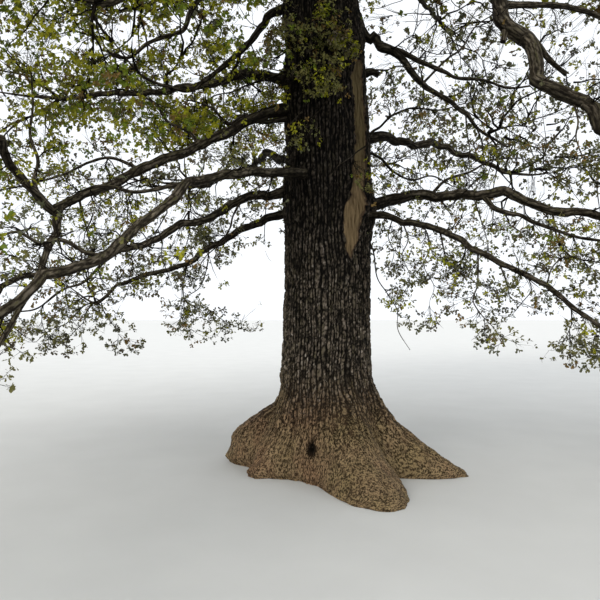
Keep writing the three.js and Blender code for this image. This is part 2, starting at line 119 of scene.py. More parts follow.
def turned(angle: Array, heading: float) -> Array:
    """How far angles lie from a heading, the short way round, all in radians."""
    return np.arctan2(np.sin(angle - heading), np.cos(angle - heading))


def rolled(radius: Array | float, angle: Array, height: Array) -> Array:
    """Points round the Z axis, (n, 3)."""
    return np.stack([radius * np.cos(angle), radius * np.sin(angle), height], axis=1)


def bezier(start: Array, bend: Array, end: Array, count: int) -> Array:
    """Points (n, count, 3) along many curves, each from a start towards a bend and on to its end (n, 3)."""
    t = np.linspace(0, 1, count)[None, :, None]
    return (1 - t) ** 2 * start[:, None] + 2 * t * (1 - t) * bend[:, None] + t * t * end[:, None]


@dataclass(frozen=True)
class PhotoView:
    """The camera of the reference view: level ground, eye height, a square frame.

    Attributes:
        place: Where the camera stands.
        rise: How far it looks up, as a slope.
        frame_side: Width and height of the frame in pixels.
        focal_pixels: Focal length in those pixels.
        sensor: Sensor width in millimetres.
    """

    place: Place = (-0.27, -6.5, 1.6)
    rise: float = 0.03
    frame_side: int = 600
    focal_pixels: float = 600.0
    sensor: float = 36.0

    def pixels(self, points: Array) -> tuple[Array, Array]:
        """Where points fall in the frame.

        Args:
            points: Points in metres, (n, 3).

        Returns:
            Pixel places (n, 2), and the distance in front of the camera (n,).
        """
        angle = math.atan(self.rise)
        away = points - np.array(self.place)
        depth = away[:, 1] * math.cos(angle) + away[:, 2] * math.sin(angle)
        upward = -away[:, 1] * math.sin(angle) + away[:, 2] * math.cos(angle)
        safe = np.maximum(depth, 0.05)
        half = self.frame_side / 2
        across = half + self.focal_pixels * away[:, 0] / safe
        down = half - self.focal_pixels * upward / safe
        return np.stack([across, down], axis=1), depth

    def framed(self, pixels: Array, depth: Array, margin: float, nearest: float = 0.5) -> Array:
        """True where a place (n, 2), farther away than the nearest, shows in the frame and its margin."""
        half = self.frame_side / 2
        return (np.abs(pixels - half) < half + margin).all(axis=1) & (depth > nearest)

    def points(self, pixels: Array, y: Array) -> Array:
        """The points that are seen at given pixels.

        Args:
            pixels: Places in the frame, (n, 2).
            y: Each point's own Y, (n,).

        Returns:
            Points in metres, (n, 3).
        """
        angle, half = math.atan(self.rise), self.frame_side / 2
        across = (pixels[:, 0] - half) / self.focal_pixels
        upward = (half - pixels[:, 1]) / self.focal_pixels
        forward = math.cos(angle) - upward * math.sin(angle)
        rising = math.sin(angle) + upward * math.cos(angle)
        away = (y - self.place[1]) / forward
        return np.array(self.place) + np.stack([across, forward, rising], axis=1) * away[:, None]

    def build(self) -> None:
        """Makes the camera and gives it to the scene."""
        data = bpy.data.cameras.new("camera")
        data.sensor_width = self.sensor
        data.lens = self.sensor * self.focal_pixels / self.frame_side
        data.clip_end = 2000
        camera = bpy.data.objects.new("camera", data)
        camera.location = self.place
        camera.rotation_euler = (math.pi / 2 + math.atan(self.rise), 0, 0)
        bpy.context.scene.collection.objects.link(camera)
        bpy.context.scene.camera = camera


VIEW = PhotoView()


@dataclass(frozen=True)
class Buttress:
    """One root buttress: its heading, how far it stands out at the ground, and how high it is blunt."""

    heading: float
    reach: float
    shoulder: float = 0.0


@dataclass(frozen=True)
class TrunkForm:
    """The trunk's axis, taper and root flare, by the same rule as the solid."""

    top: float = 9.2
    breast_height: float = 1.3
    breast_radius: float = 0.475
    taper_length: float = 20.7
    lean: float = -0.012
    sway: tuple[float, float] = (0.05, 0.55)
    bow: tuple[float, float, float] = (0.04, 0.7, 1.0)
    flare_height: float = 1.15
    flare_power: float = 2.2
    flare_between: float = 0.19
    half_angle: float = 16.0
    shoulder_fall: float = 0.5
    buttresses: tuple[Buttress, ...] = (
        Buttress(165, 0.44, 0.3),
        Buttress(-152, 0.25),
        Buttress(-77, 0.7),
        Buttress(-60, 0.52),
        Buttress(-14, 0.85),
        Buttress(52, 0.56),
        Buttress(112, 0.6),
    )

    def axis(self, z: Array) -> Array:
        """The middle of the trunk at each height.

        Args:
            z: Heights, (n,).

        Returns:
            Points, (n, 3).
        """
        z = np.atleast_1d(np.asarray(z, dtype=float))
        x = self.lean * z + self.sway[0] * np.sin(self.sway[1] * z)
        y = self.bow[0] * (np.sin(self.bow[1] * z + self.bow[2]) - math.sin(self.bow[2]))
        return np.stack([x, y, z], axis=1)

    def radius(self, z: Array) -> Array:
        """The trunk's radius above the flare at each height."""
        risen = np.asarray(z, dtype=float) - self.breast_height
        return self.breast_radius * (1 - risen / self.taper_length)

    def flare(self, z: Array, angle: Array) -> Array:
        """How far the root flare stands out of the trunk.

        Args:
            z: Heights, (n,).
            angle: Angles round the axis in radians, (n,).

        Returns:
            Distances, (n,).
        """
        slope = np.maximum(0, 1 - z / self.flare_height) ** self.flare_power
        out = self.flare_between * slope
        for buttress in self.buttresses:
            blunt = 1 - smoothstep(buttress.shoulder, buttress.shoulder + self.shoulder_fall, z)
            across = turned(angle, math.radians(buttress.heading)) / math.radians(self.half_angle)
            out = out + buttress.reach * (blunt if buttress.shoulder else slope) * np.exp(-(across**2))
        return out


TRUNK = TrunkForm()


@dataclass(frozen=True)
class Limb:
    """One bough, by the same rule as its solid.

    Attributes:
        name: The bough's name, as in its node.
        height: Where its root leaves the trunk.
        heading: Heading at the root and at the tip.
        pitch: Pitch at the root, halfway and at the tip.
        length: Length from inside the trunk to the tip.
        girth: Radius at the root and at the tip.
        wave: Phase of its gentle waves.
        mass: Reach of the foliage mass at its tip, and how far the mass's middle lies ahead of the tip and
            above it, as shares of that reach.
    """

    name: str
    height: float
    heading: tuple[float, float]
    pitch: tuple[float, float, float]
    length: float
    girth: tuple[float, float]
    wave: float
    mass: tuple[float, float, float]

    RINGS = 7
    ROOT_INSIDE = 0.55
    CROWDING = 1.3
    TAPER = 0.85
    WAVE_PITCH = 7.0
    WAVE_HEADING = 9.0
    WAVE_LEADER = 0.4
    SWELL = (0.4, 0.3)
    SWELL_LEADER = (0.13, 0.5)
    STEEPEST = 89.0

    @property
    def leads(self) -> bool:
        """True for the leader, which goes on from the trunk's top."""
        return self.height >= TRUNK.top

    def route(self) -> Array:
        """The points along the bough's middle, from inside the trunk to its tip.

        Returns:
            Points, (RINGS + 1, 3).
        """
        inside = 0.0 if self.leads else self.ROOT_INSIDE * float(TRUNK.radius(self.height))
        wave = self.WAVE_LEADER if self.leads else 1.0
        shares = (np.arange(self.RINGS + 1) / self.RINGS) ** self.CROWDING
        root, middle, tip = self.pitch
        points = [TRUNK.axis(self.height)[0] + inside * toward(self.heading[0], 0)]
        for low, high in zip(shares, shares[1:]):
            u = (low + high) / 2
            rise = root * (1 - u) * (1 - 2 * u) + 4 * middle * u * (1 - u) + tip * u * (2 * u - 1)
            rise += self.WAVE_PITCH * wave * math.sin(9 * u + self.wave)
            turn = self.heading[0] + (self.heading[1] - self.heading[0]) * u
            turn += self.WAVE_HEADING * wave * math.sin(7 * u + 1.7 * self.wave)
            points.append(points[-1] + toward(turn, min(self.STEEPEST, rise)) * self.length * (high - low))
        return np.array(points)

    def radius(self, u: Array) -> Array:
        """The bough's radius at shares of its length.

        Args:
            u: Shares of the length, (n,).

        Returns:
            Radii, (n,).
        """
        root, tip = self.girth
        swell, reach = self.SWELL_LEADER if self.leads else self.SWELL
        swelling = 1 + swell * np.exp(-((u * self.length / reach) ** 2))
        return (root + (tip - root) * np.clip(u, 0, 1) ** self.TAPER) * swelling


def ring(first: Limb, count: int, highest: float) -> list[Limb]:
    """Boughs that repeat round the trunk, each a little unlike the next.

    Args:
        first: The first bough, with the ring's name and its lowest root.
        count: How many there are.
        highest: The highest root.

    Returns:
        The boughs.
    """
    start = first.heading[0]
    reach, ahead, lift = first.mass
    rows = []
    for k in range(count):
        heading = start + 360 / count * k + 6 * math.sin(2.1 * k + start)
        own = {
            "name": f"{first.name}_{k + 1}",
            "height": first.height + (highest - first.height) * ((0.618 * k) % 1),
            "heading": (heading, heading + 5 * math.cos(1.3 * k)),
            "length": first.length * (1 + 0.06 * math.sin(5.3 * k + start)),
            "wave": 1.9 * k + start,
            "mass": (reach * (1 + 0.05 * math.sin(3.7 * k + start)), ahead, lift),
        }
        rows.append(replace(first, **own))
    return rows


LOW_LIMBS = [
    Limb("left_mid", 3.85, (198, 222), (-1, -34, 34), 4.0, (0.068, 0.038), 4.9, (1.8, 0.5, 0.3)),
    Limb("left_front_low", 3.1, (239, 230), (-1, -28, -11), 4.05, (0.058, 0.034), 5.6, (1.9, 0.8, 0.35)),
    Limb("left_low", 3.0, (187, 182), (-12, -23, -50), 3.85, (0.058, 0.032), 2.1, (1.9, 0.7, 0.3)),
    Limb("left_droop", 2.79, (160, 170), (-15, -23, -21), 2.45, (0.042, 0.022), 0.7, (1.15, 0.5, 0)),
    Limb("left_upper", 4.95, (182, 200), (-4, -52, -30), 1.45, (0.054, 0.028), 1.2, (1.4, 0.7, 0.5)),
    Limb("front_left_hang", 6.2, (216, 232), (-6, -46, -52), 2.75, (0.074, 0.038), 2.2, (1.5, 0.3, -0.1)),
    Limb("right_low", 2.7, (-6, -1), (20, -11, -17), 4.5, (0.074, 0.038), 1.4, (2.05, 0.6, 0.3)),
    Limb("right_droop", 2.63, (-28, -11), (9, -33, -32), 3.2, (0.046, 0.024), 2.1, (1.25, 0.3, 0.1)),
    Limb("right_upper", 4.94, (4, 7), (-24, -44, -35), 1.75, (0.066, 0.032), 4.9, (1.55, 0.7, 0.05)),
    Limb("front_right_hang", 6.47, (-41, -6), (-25, -60, -22), 5.05, (0.09, 0.048), 0, (1.8, 0.6, 0.3)),
    Limb("back_right_low", 3.5, (36, 42), (26, 4, -4), 2.7, (0.07, 0.038), 2.6, (2.1, 0.8, 0.1)),
    Limb("back_low", 3.95, (84, 80), (26, 4, -4), 2.7, (0.07, 0.038), 3.4, (2.1, 0.8, 0.1)),
    Limb("back_left_low", 3.35, (122, 126), (22, 4, -6), 2.7, (0.07, 0.038), 5, (2.1, 0.8, 0.15)),
    Limb("left_back_low", 4.15, (154, 162), (16, 4, -6), 2.9, (0.068, 0.038), 0.9, (2.0, 0.9, 0.15)),
]
HIGH_LIMBS = [
    *ring(Limb("middle", 5.9, (8, 8), (30, 10, 2), 4.6, (0.096, 0.044), 0, (2.6, 0.7, 0.1)), 6, 6.8),
    *ring(Limb("high", 7.9, (32, 32), (42, 27, 20), 4.3, (0.094, 0.042), 0, (2.6, 0.65, 0.3)), 5, 8.5),
    *ring(Limb("crown", 8.7, (64, 64), (34, 58, 44), 3.9, (0.094, 0.044), 0, (2.35, 0.7, 0.3)), 3, 8.83),
    Limb("leader", 9.2, (120, 60), (88, 84, 86), 3.6, (0.262, 0.06), 1, (2.3, 0.6, 0.5)),
]


DRESSED_GIRTH = {"front_right_hang": 1.1, "left_droop": 1.15}
LOW_GIRTH = 0.88
TRACES = {
    "left_mid": ((233, 130), (200, 143), (180, 155), (147, 167), (117, 180), (83, 195), (63, 206), (53, 212),
                 (40, 197), (23, 180), (13, 170), (7, 158), (2, 140)),
    "left_front_low": ((267, 172), (233, 175), (207, 178), (188, 181), (173, 200), (157, 212), (140, 223),
                       (125, 238), (105, 257), (75, 268), (43, 275), (33, 287), (20, 300), (0, 313)),
    "left_low": ((267, 197), (250, 197), (233, 203), (213, 217), (197, 222), (180, 225), (160, 237),
                 (143, 245), (123, 248), (90, 260), (67, 270), (43, 273), (20, 277), (0, 287)),
    "left_droop": ((260, 223), (233, 235), (213, 245), (200, 253), (187, 265), (167, 270), (143, 275),
                   (117, 285), (97, 304)),
    "left_upper": ((267, 17), (253, 37), (240, 53)),
    "right_low": ((393, 200), (410, 197), (437, 197), (460, 193), (477, 195), (503, 193), (520, 198),
                  (537, 205), (553, 210), (577, 212), (600, 217)),
    "right_droop": ((393, 217), (403, 222), (420, 225), (437, 230), (450, 235), (463, 240), (473, 248),
                    (483, 253), (503, 265), (530, 278), (547, 285), (560, 295), (573, 307), (587, 317)),
    "right_upper": ((370, 40), (380, 47), (393, 52), (400, 58), (410, 72), (423, 83), (437, 93), (453, 103),
                    (467, 115), (477, 128), (493, 138), (507, 147)),
    "front_right_hang": ((500, 0), (503, 17), (508, 26), (523, 37), (530, 47), (535, 63), (537, 80),
                         (547, 85), (567, 92), (583, 100), (593, 110), (598, 130)),
}


@dataclass(frozen=True)
class SideLimb:
    """A lesser limb that leaves a bough or the trunk, placed by where the reference view shows it.

    Attributes:
        parent: The bough that it leaves, or "trunk".
        way: Its way through the reference view, from its root to its tip.
        drift: How far its tip lies behind its root, along Y.
        girth: Radius at its root and at its tip.
        depth: The Y of its root, where it leaves the trunk.
    """

    parent: str
    way: tuple[tuple[float, float], ...]
    drift: float
    girth: tuple[float, float]
    depth: float = 0.0

    STEP = 0.03
    FEWEST = 8
    TAPER = 0.85
    SWELL = (0.35, 2.5)

    def line(self, carrier: LimbLine | None) -> LimbLine:
        """Its points, how far along each lies and its radii.

        Args:
            carrier: The bough that it leaves, or None for the trunk.

        Returns:
            Points (n, 3), distances (n,) and radii (n,).
        """
        pixels = np.array(self.way, dtype=float)
        steps = Paths.along(pixels)
        depth = self.depth
        if carrier is not None:
            near = np.argmin(np.linalg.norm(VIEW.pixels(carrier[0])[0] - pixels[0], axis=1))
            root = carrier[0][near]
            depth = root[1]
        points = VIEW.points(pixels, depth + self.drift * steps / steps[-1])
        if carrier is not None:
            points[0] = root
        count = max(self.FEWEST, int(Paths.length(points) / self.STEP))
        line, along = Paths.even(Paths.smooth(points), count)
        thick, thin = self.girth
        swell, reach = self.SWELL
        radii = thick + (thin - thick) * (along / along[-1]) ** self.TAPER
        return line, along, radii * (1 + swell * np.exp(-((along / (reach * thick)) ** 2)))


SIDE_LIMBS = (
    SideLimb("left_mid", ((60, 210), (57, 222), (57, 233), (50, 243), (43, 262), (38, 277), (20, 307),
             (10, 327), (0, 343), (-16, 368)), -0.5, (0.038, 0.02)),
    SideLimb("left_mid", ((140, 169), (112, 158), (90, 162), (67, 173), (53, 178), (33, 183), (17, 187),
             (-5, 191)), 0.4, (0.017, 0.008)),
    SideLimb("left_mid", ((78, 196), (82, 213), (87, 230), (92, 253)), 0.1, (0.012, 0.007)),
    SideLimb("left_mid", ((40, 197), (34, 180), (38, 160), (30, 135), (33, 105),
             (31, 70)), 0.2, (0.02, 0.007)),
    SideLimb("left_mid", ((200, 143), (186, 130), (168, 122), (155, 104), (133, 92),
             (110, 88)), 0.3, (0.022, 0.008)),
    SideLimb("left_front_low", ((186, 182), (170, 186), (153, 190), (133, 192), (113, 187), (97, 186),
             (82, 191)), 0.2, (0.02, 0.011)),
    SideLimb("left_front_low", ((105, 257), (85, 252), (62, 240), (40, 243), (18, 232),
             (0, 236)), -0.3, (0.018, 0.008)),
    SideLimb("left_low", ((243, 200), (233, 216), (230, 228), (220, 243), (206, 256)), -0.3, (0.014, 0.006)),
    SideLimb("left_low", ((123, 248), (104, 262), (84, 282), (62, 290), (38, 308),
             (18, 312)), 0.3, (0.02, 0.008)),
    SideLimb("left_droop", ((208, 247), (207, 267), (200, 287), (187, 297),
             (181, 312)), -0.1, (0.01, 0.004)),
    SideLimb("left_droop", ((188, 264), (183, 287), (187, 303), (206, 308), (226, 322),
             (250, 332)), 0.1, (0.009, 0.003)),
    SideLimb("left_droop", ((117, 285), (100, 300), (84, 306), (67, 323), (50, 330),
             (36, 342)), 0.1, (0.012, 0.004)),
    SideLimb("left_upper", ((240, 53), (236, 66), (222, 82), (203, 90)), 0.2, (0.02, 0.009)),
    SideLimb("trunk", ((286, -24), (232, -30), (204, -6), (196, 4), (190, 13), (183, 30), (163, 37),
             (147, 44), (128, 58), (110, 53)), -0.5, (0.05, 0.014)),
    SideLimb("trunk", ((290, 118), (262, 122), (245, 116), (228, 124), (212, 108),
             (190, 100)), -0.4, (0.03, 0.01), -0.2),
    SideLimb("right_upper", ((378, 45), (397, 50), (417, 60), (433, 67), (447, 73), (457, 78), (483, 80),
             (508, 88), (530, 86)), 0.1, (0.034, 0.01)),
    SideLimb("right_upper", ((466, 114), (467, 133), (470, 153), (466, 170)), -0.2, (0.011, 0.005)),
    SideLimb("right_upper", ((477, 127), (482, 143), (484, 158), (492, 170)), 0.1, (0.011, 0.005)),
    SideLimb("right_upper", ((423, 83), (446, 60), (462, 48), (476, 26), (498, 12)), 0.4, (0.016, 0.006)),
    SideLimb("trunk", ((350, 76), (364, 74), (372, 72), (379, 75)), 0.0, (0.05, 0.038), -0.1),
    SideLimb("trunk", ((366, 73), (376, 70), (387, 70), (398, 66), (415, 69)), -0.1, (0.012, 0.005), -0.1),
    SideLimb("trunk", ((360, 146), (372, 132), (380, 127), (390, 117), (400, 112), (413, 108), (440, 110),
             (462, 104)), -0.3, (0.016, 0.006), -0.05),
    SideLimb("trunk", ((366, 146), (358, 151), (350, 158), (338, 166),
             (331, 176)), -0.05, (0.009, 0.004), -0.47),
    SideLimb("trunk", ((362, 150), (380, 158), (394, 172), (412, 180), (432, 176),
             (452, 186)), 0.5, (0.018, 0.007), 0.05),
    SideLimb("front_right_hang", ((503, 17), (505, 28), (503, 42)), -0.05, (0.034, 0.026)),
    SideLimb("front_right_hang", ((508, 18), (527, 33), (540, 47), (547, 57), (557, 67),
             (566, 74)), 0.15, (0.036, 0.022)),
    SideLimb("front_right_hang", ((503, 6), (520, 5), (547, 5), (567, 7), (587, 12),
             (604, 19)), 0.3, (0.034, 0.024)),
    SideLimb("front_right_hang", ((573, 95), (578, 120), (576, 138), (583, 158)), -0.1, (0.012, 0.005)),
    SideLimb("right_low", ((482, 195), (493, 207), (507, 213), (520, 215), (533, 222), (547, 227),
             (577, 237), (604, 241)), -0.2, (0.03, 0.013)),
    SideLimb("right_low", ((430, 197), (446, 180), (470, 172), (492, 160), (520, 158)), 0.3, (0.018, 0.007)),
    SideLimb("right_low", ((474, 195), (480, 217), (487, 240), (489, 252)), -0.1, (0.008, 0.004)),
    SideLimb("right_low", ((553, 210), (556, 234), (562, 248), (575, 258),
             (602, 263)), -0.1, (0.013, 0.007)),
    SideLimb("right_droop", ((478, 251), (478, 273), (477, 287), (473, 300), (480, 313),
             (494, 328)), -0.1, (0.01, 0.004)),
    SideLimb("right_droop", ((500, 263), (507, 283), (510, 297), (523, 304)), 0.1, (0.009, 0.004)),
    SideLimb("right_droop", ((440, 232), (447, 260), (460, 272), (477, 285),
             (470, 300)), 0.3, (0.01, 0.004)),
    SideLimb("right_droop", ((547, 285), (552, 268), (563, 258), (580, 256)), 0.1, (0.009, 0.004)),
    SideLimb("trunk", ((364, 236), (373, 250), (377, 277), (387, 293), (397, 310), (398, 330),
             (410, 350)), -0.2, (0.009, 0.003), -0.1),
    SideLimb("trunk", ((306, 100), (301, 84), (305, 66), (297, 48), (303, 30)), -0.3, (0.009, 0.003), -0.5),
    SideLimb("trunk", ((316, 44), (325, 26), (338, 14), (344, -6)), -0.3, (0.009, 0.003), -0.5),
    SideLimb("trunk", ((302, 112), (294, 120), (286, 130), (281, 144)), -0.25, (0.008, 0.003), -0.5),
    SideLimb("trunk", ((326, 88), (336, 72), (334, 54), (341, 40)), -0.3, (0.008, 0.003), -0.5),
    SideLimb("trunk", ((312, 118), (322, 108), (330, 96), (344, 92)), -0.25, (0.008, 0.003), -0.5),
    SideLimb("trunk", ((318, 66), (310, 50), (314, 32), (322, 10)), -0.3, (0.008, 0.003), -0.5),
    SideLimb("trunk", ((288, 70), (270, 78), (250, 84), (232, 92), (214, 96),
             (196, 110)), -0.3, (0.015, 0.005), -0.2),
    SideLimb("trunk", ((286, 100), (270, 96), (256, 88), (240, 74), (226, 66),
             (214, 72)), 0.3, (0.014, 0.005), 0.1),
    SideLimb("right_droop", ((404, 222), (408, 240), (402, 256), (410, 274)), -0.2, (0.008, 0.003)),
    SideLimb("right_droop", ((424, 227), (430, 246), (424, 266), (434, 286),
             (430, 300)), 0.2, (0.008, 0.003)),
    SideLimb("right_droop", ((392, 217), (388, 236), (394, 252), (390, 268)), 0.1, (0.007, 0.003)),
)


class Paths:
    """Smooth lines through a limb's few points, with the small crooks that oak limbs have."""

    STEPS = 10
    ROOT_END = 0.45
    BEYOND = 1.2
    CROOKS = ((1.1, 1.0), (0.47, 0.55), (0.21, 0.25))

    @staticmethod
    def smooth(points: Array) -> Array:
        """A smooth line through points.

        Args:
            points: A few points, (n, 3).

        Returns:
            Many points on a curve through them.
        """
        padded = np.vstack([2 * points[0] - points[1], points, 2 * points[-1] - points[-2]])
        t = np.linspace(0, 1, Paths.STEPS, endpoint=False)[:, None]
        out = []
        for a, b, c, d in zip(padded, padded[1:], padded[2:], padded[3:]):
            low = 2 * b + (c - a) * t + (2 * a - 5 * b + 4 * c - d) * t**2
            out.append(0.5 * (low + (3 * b - a - 3 * c + d) * t**3))
        return np.vstack([*out, points[-1:]])

    @staticmethod
    def length(points: Array) -> float:
        """The length of a line of points."""
        return float(np.sum(np.linalg.norm(np.diff(points, axis=0), axis=1)))

    @staticmethod
    def along(points: Array) -> Array:
        """How far along a line each of its points lies."""
        return np.concatenate([[0], np.cumsum(np.linalg.norm(np.diff(points, axis=0), axis=1))])

    @staticmethod
    def even(points: Array, count: int) -> tuple[Array, Array]:
        """Points evenly spaced along a line.

        Args:
            points: The line's points, (n, 3).
            count: How many even points are wanted.

        Returns:
            The even points (count, 3) and how far along each lies (count,).
        """
        along = Paths.along(points)
        places = np.linspace(0, along[-1], count)
        spaced = np.stack([np.interp(places, along, points[:, k]) for k in range(3)], axis=1)
        return spaced, places

    @staticmethod
    def traced(points: Array, along: Array, way: Array) -> Array:
        """Draws a line's seen part onto its way through the reference view, at its own depth.

        Args:
            points: Points on the line, (n, 3).
            along: How far along each lies, (n,).
            way: The pixel places of the way, (m, 2).

        Returns:
            The moved points.
        """
        seen, _ = VIEW.pixels(points)
        nearest = np.argmin(np.linalg.norm(seen[None] - way[:, None], axis=2), axis=1)
        nearest = np.maximum.accumulate(nearest + np.arange(len(nearest)))
        nearest = np.minimum(nearest, len(points) - 2)
        shift = VIEW.points(way, points[nearest, 1]) - points[nearest]
        places = along[nearest]
        knots = np.concatenate([[0, Paths.ROOT_END], places, [places[-1] + Paths.BEYOND, 99]])
        shift = np.vstack([np.zeros((2, 3)), shift, np.zeros((2, 3))])
        order = np.argsort(knots, kind="stable")
        moved = [np.interp(along, knots[order], shift[order, k]) for k in range(3)]
        return points + np.stack(moved, axis=1)

    @staticmethod
    def crooked(points: Array, along: Array, amount: Array, seed: int) -> Array:
        """Moves a line's points off it in slow and quick bends, none at its root.

        Args:
            points: Points on the line, (n, 3).
            along: How far along each lies, (n,).
            amount: How far each may move, (n,).
            seed: Which bends it gets.

        Returns:
            The moved points.
        """
        rng = np.random.default_rng(seed)
        moved = points.copy()
        settle = smoothstep(0.25, 0.9, along)
        for wavelength, share in Paths.CROOKS:
            phase = rng.uniform(0, 2 * math.pi, 3)
            bends = np.sin(2 * math.pi * along[:, None] / wavelength + phase)
            moved += bends * (share * amount * settle)[:, None]
        return moved


def cross_frames(points: Array) -> tuple[Array, Array]:
    """Two directions across each point of many lines, that don't twist along them.

    Args:
        points: Lines of points, (n, k, 3).

    Returns:
        Two arrays of unit vectors, (n, k, 3) each.
    """
    along = np.empty_like(points)
    along[:, 1:-1] = points[:, 2:] - points[:, :-2]
    along[:, 0] = points[:, 1] - points[:, 0]
    along[:, -1] = points[:, -1] - points[:, -2]
    along = unit(along)
    across = np.empty_like(points)
    steep = np.abs(along[:, 0, 2:3]) > 0.9
    carried = np.where(steep, np.array([1.0, 0.0, 0.0]), UP)
    for k in range(points.shape[1]):
        way = along[:, k]
        carried = unit(carried - way * np.sum(carried * way, axis=1, keepdims=True))
        across[:, k] = carried
    return across, np.cross(across, along)


@dataclass(frozen=True)
class BarkRelief:
    """Ridges of oak bark that run along a stem, fork and join, and are broken across into plates.

    Attributes:
        across: How far apart the ridges run.
        along: About how far one runs before it joins another.
        depth: How deep the furrows are.
        block: A plate's width and length, as shares of the ridges' distance.
    """

    across: float
    along: float
    depth: float
    block: tuple[float, float] = (1.0, 1.05)

    WANDER = np.array([0.3, 0.3, 0.08])
    RIDGE_WIDTH = 1.3
    FORKING = 1.1
    CRACKING = 0.8
    SWAY = 3.5
    FURROW = (0.18, 0.7)
    GAP = (0.02, 0.26)
    CRACK = (0.0, 0.24)
    FEWEST = 4

    def plates(self, points: Array, seed: float = 0.0) -> tuple[Array, Array]:
        """How far up a plate each point lies, and each plate's own tone.

        Args:
            points: Points of a stem that runs along Z, (n, 3).
            seed: Shifts the pattern.

        Returns:
            0 in the furrows to 1 on the plates, and 0 to 1 by plate, (n,) each.
        """
        gap, crack, tone, sway = (np.empty(len(points)) for _ in range(4))
        wide, tall = (self.across * share for share in self.block)
        ridge_width = self.RIDGE_WIDTH * self.across
        broad = points * self.WANDER / self.across + seed
        ridges = points / np.array([ridge_width, ridge_width, self.along]) + seed
        blocks = points / np.array([wide, wide, tall]) + seed
        for k, (slow, ridge, block) in enumerate(zip(broad.tolist(), ridges.tolist(), blocks.tolist())):
            warp = noise.noise_vector(slow)
            sway[k] = warp.x
            near = noise.voronoi(Vector(ridge) + self.FORKING * warp)[0]
            gap[k] = near[1] - near[0]
            near, hearts = noise.voronoi(Vector(block) + self.CRACKING * warp)
            crack[k] = near[1] - near[0]
            tone[k] = math.sin(12.99 * hearts[0].x + 78.23 * hearts[0].y + 37.7 * hearts[0].z) * 43758.5 % 1
        girth = 2 * math.pi * float(np.median(np.hypot(points[:, 0], points[:, 1])))
        count = max(self.FEWEST, round(girth / self.across))
        angle = np.arctan2(points[:, 1], points[:, 0])
        furrow = np.abs(np.sin(0.5 * count * angle + self.SWAY * sway))
        height = smoothstep(*self.FURROW, furrow) * (0.3 + 0.7 * smoothstep(*self.GAP, gap))
        return height * (0.22 + 0.78 * smoothstep(*self.CRACK, crack)), tone

    @staticmethod
    def lumps(points: Array, size: float, seed: float = 0.0) -> Array:
        """Slow lumps of a size over a surface's points (n, 3), from about -1 to 1."""
        return np.array([noise.noise(Vector(p)) for p in (points / size + seed).tolist()])


@dataclass(frozen=True)
class Scar:
    """The strip on the trunk's right where the bark is gone.

    Attributes:
        heading: The side of the trunk that it lies on.
        depth: How deep it lies below the bark.
        outline: Its corners in the reference view, from its foot up the left edge.
        lip: How wide its edge is, in pixels.
        ragged: How far and over what height its edges swing together, and each by itself.
    """

    heading: float = -38.0
    depth: float = 0.018
    lip: float = 0.8
    ragged: tuple[tuple[float, float], tuple[float, float]] = ((2.2, 0.13), (1.6, 0.035))
    outline: tuple[tuple[float, float], ...] = (
        (351, 258), (347.5, 251), (345, 240), (344.5, 222), (345, 206), (347.5, 200), (352, 195), (354, 180),
        (353.5, 166), (356, 156), (357, 140), (355.5, 124), (356, 106), (353.5, 90), (353, 76), (355, 58),
        (361, 62), (363, 80), (364.5, 104), (365.8, 125), (365.8, 165), (364, 190), (363, 204), (360, 225),
        (357, 243),
    )

    def bareness(self, points: Array) -> Array:
        """How bare the wood is at points on the trunk.

        Args:
            points: Points on the trunk's surface, (n, 3).

        Returns:
            0 on the bark to 1 inside the strip, (n,).
        """
        facing = points @ toward(self.heading, 0)
        place = VIEW.pixels(points)[0]
        (swing, height), (jag, size) = self.ragged
        place[:, 0] += swing * BarkRelief.lumps(points * UP, height) + jag * BarkRelief.lumps(points, size)
        corners = np.array(self.outline)
        nearest = np.full(len(points), np.inf)
        inside = np.zeros(len(points), dtype=bool)
        for a, b in zip(corners, np.roll(corners, -1, axis=0)):
            edge = b - a
            t = np.clip(((place - a) @ edge) / (edge @ edge), 0, 1)
            nearest = np.minimum(nearest, np.linalg.norm(place - a - t[:, None] * edge, axis=1))
            straddles = (a[1] > place[:, 1]) != (b[1] > place[:, 1])
            crossing = a[0] + edge[0] * (place[:, 1] - a[1]) / (edge[1] if edge[1] else 1e-9)
            inside ^= straddles & (place[:, 0] < crossing)
        signed = np.where(inside, nearest, -nearest)
        return smoothstep(-self.lip, self.lip, signed) * (facing > 0)


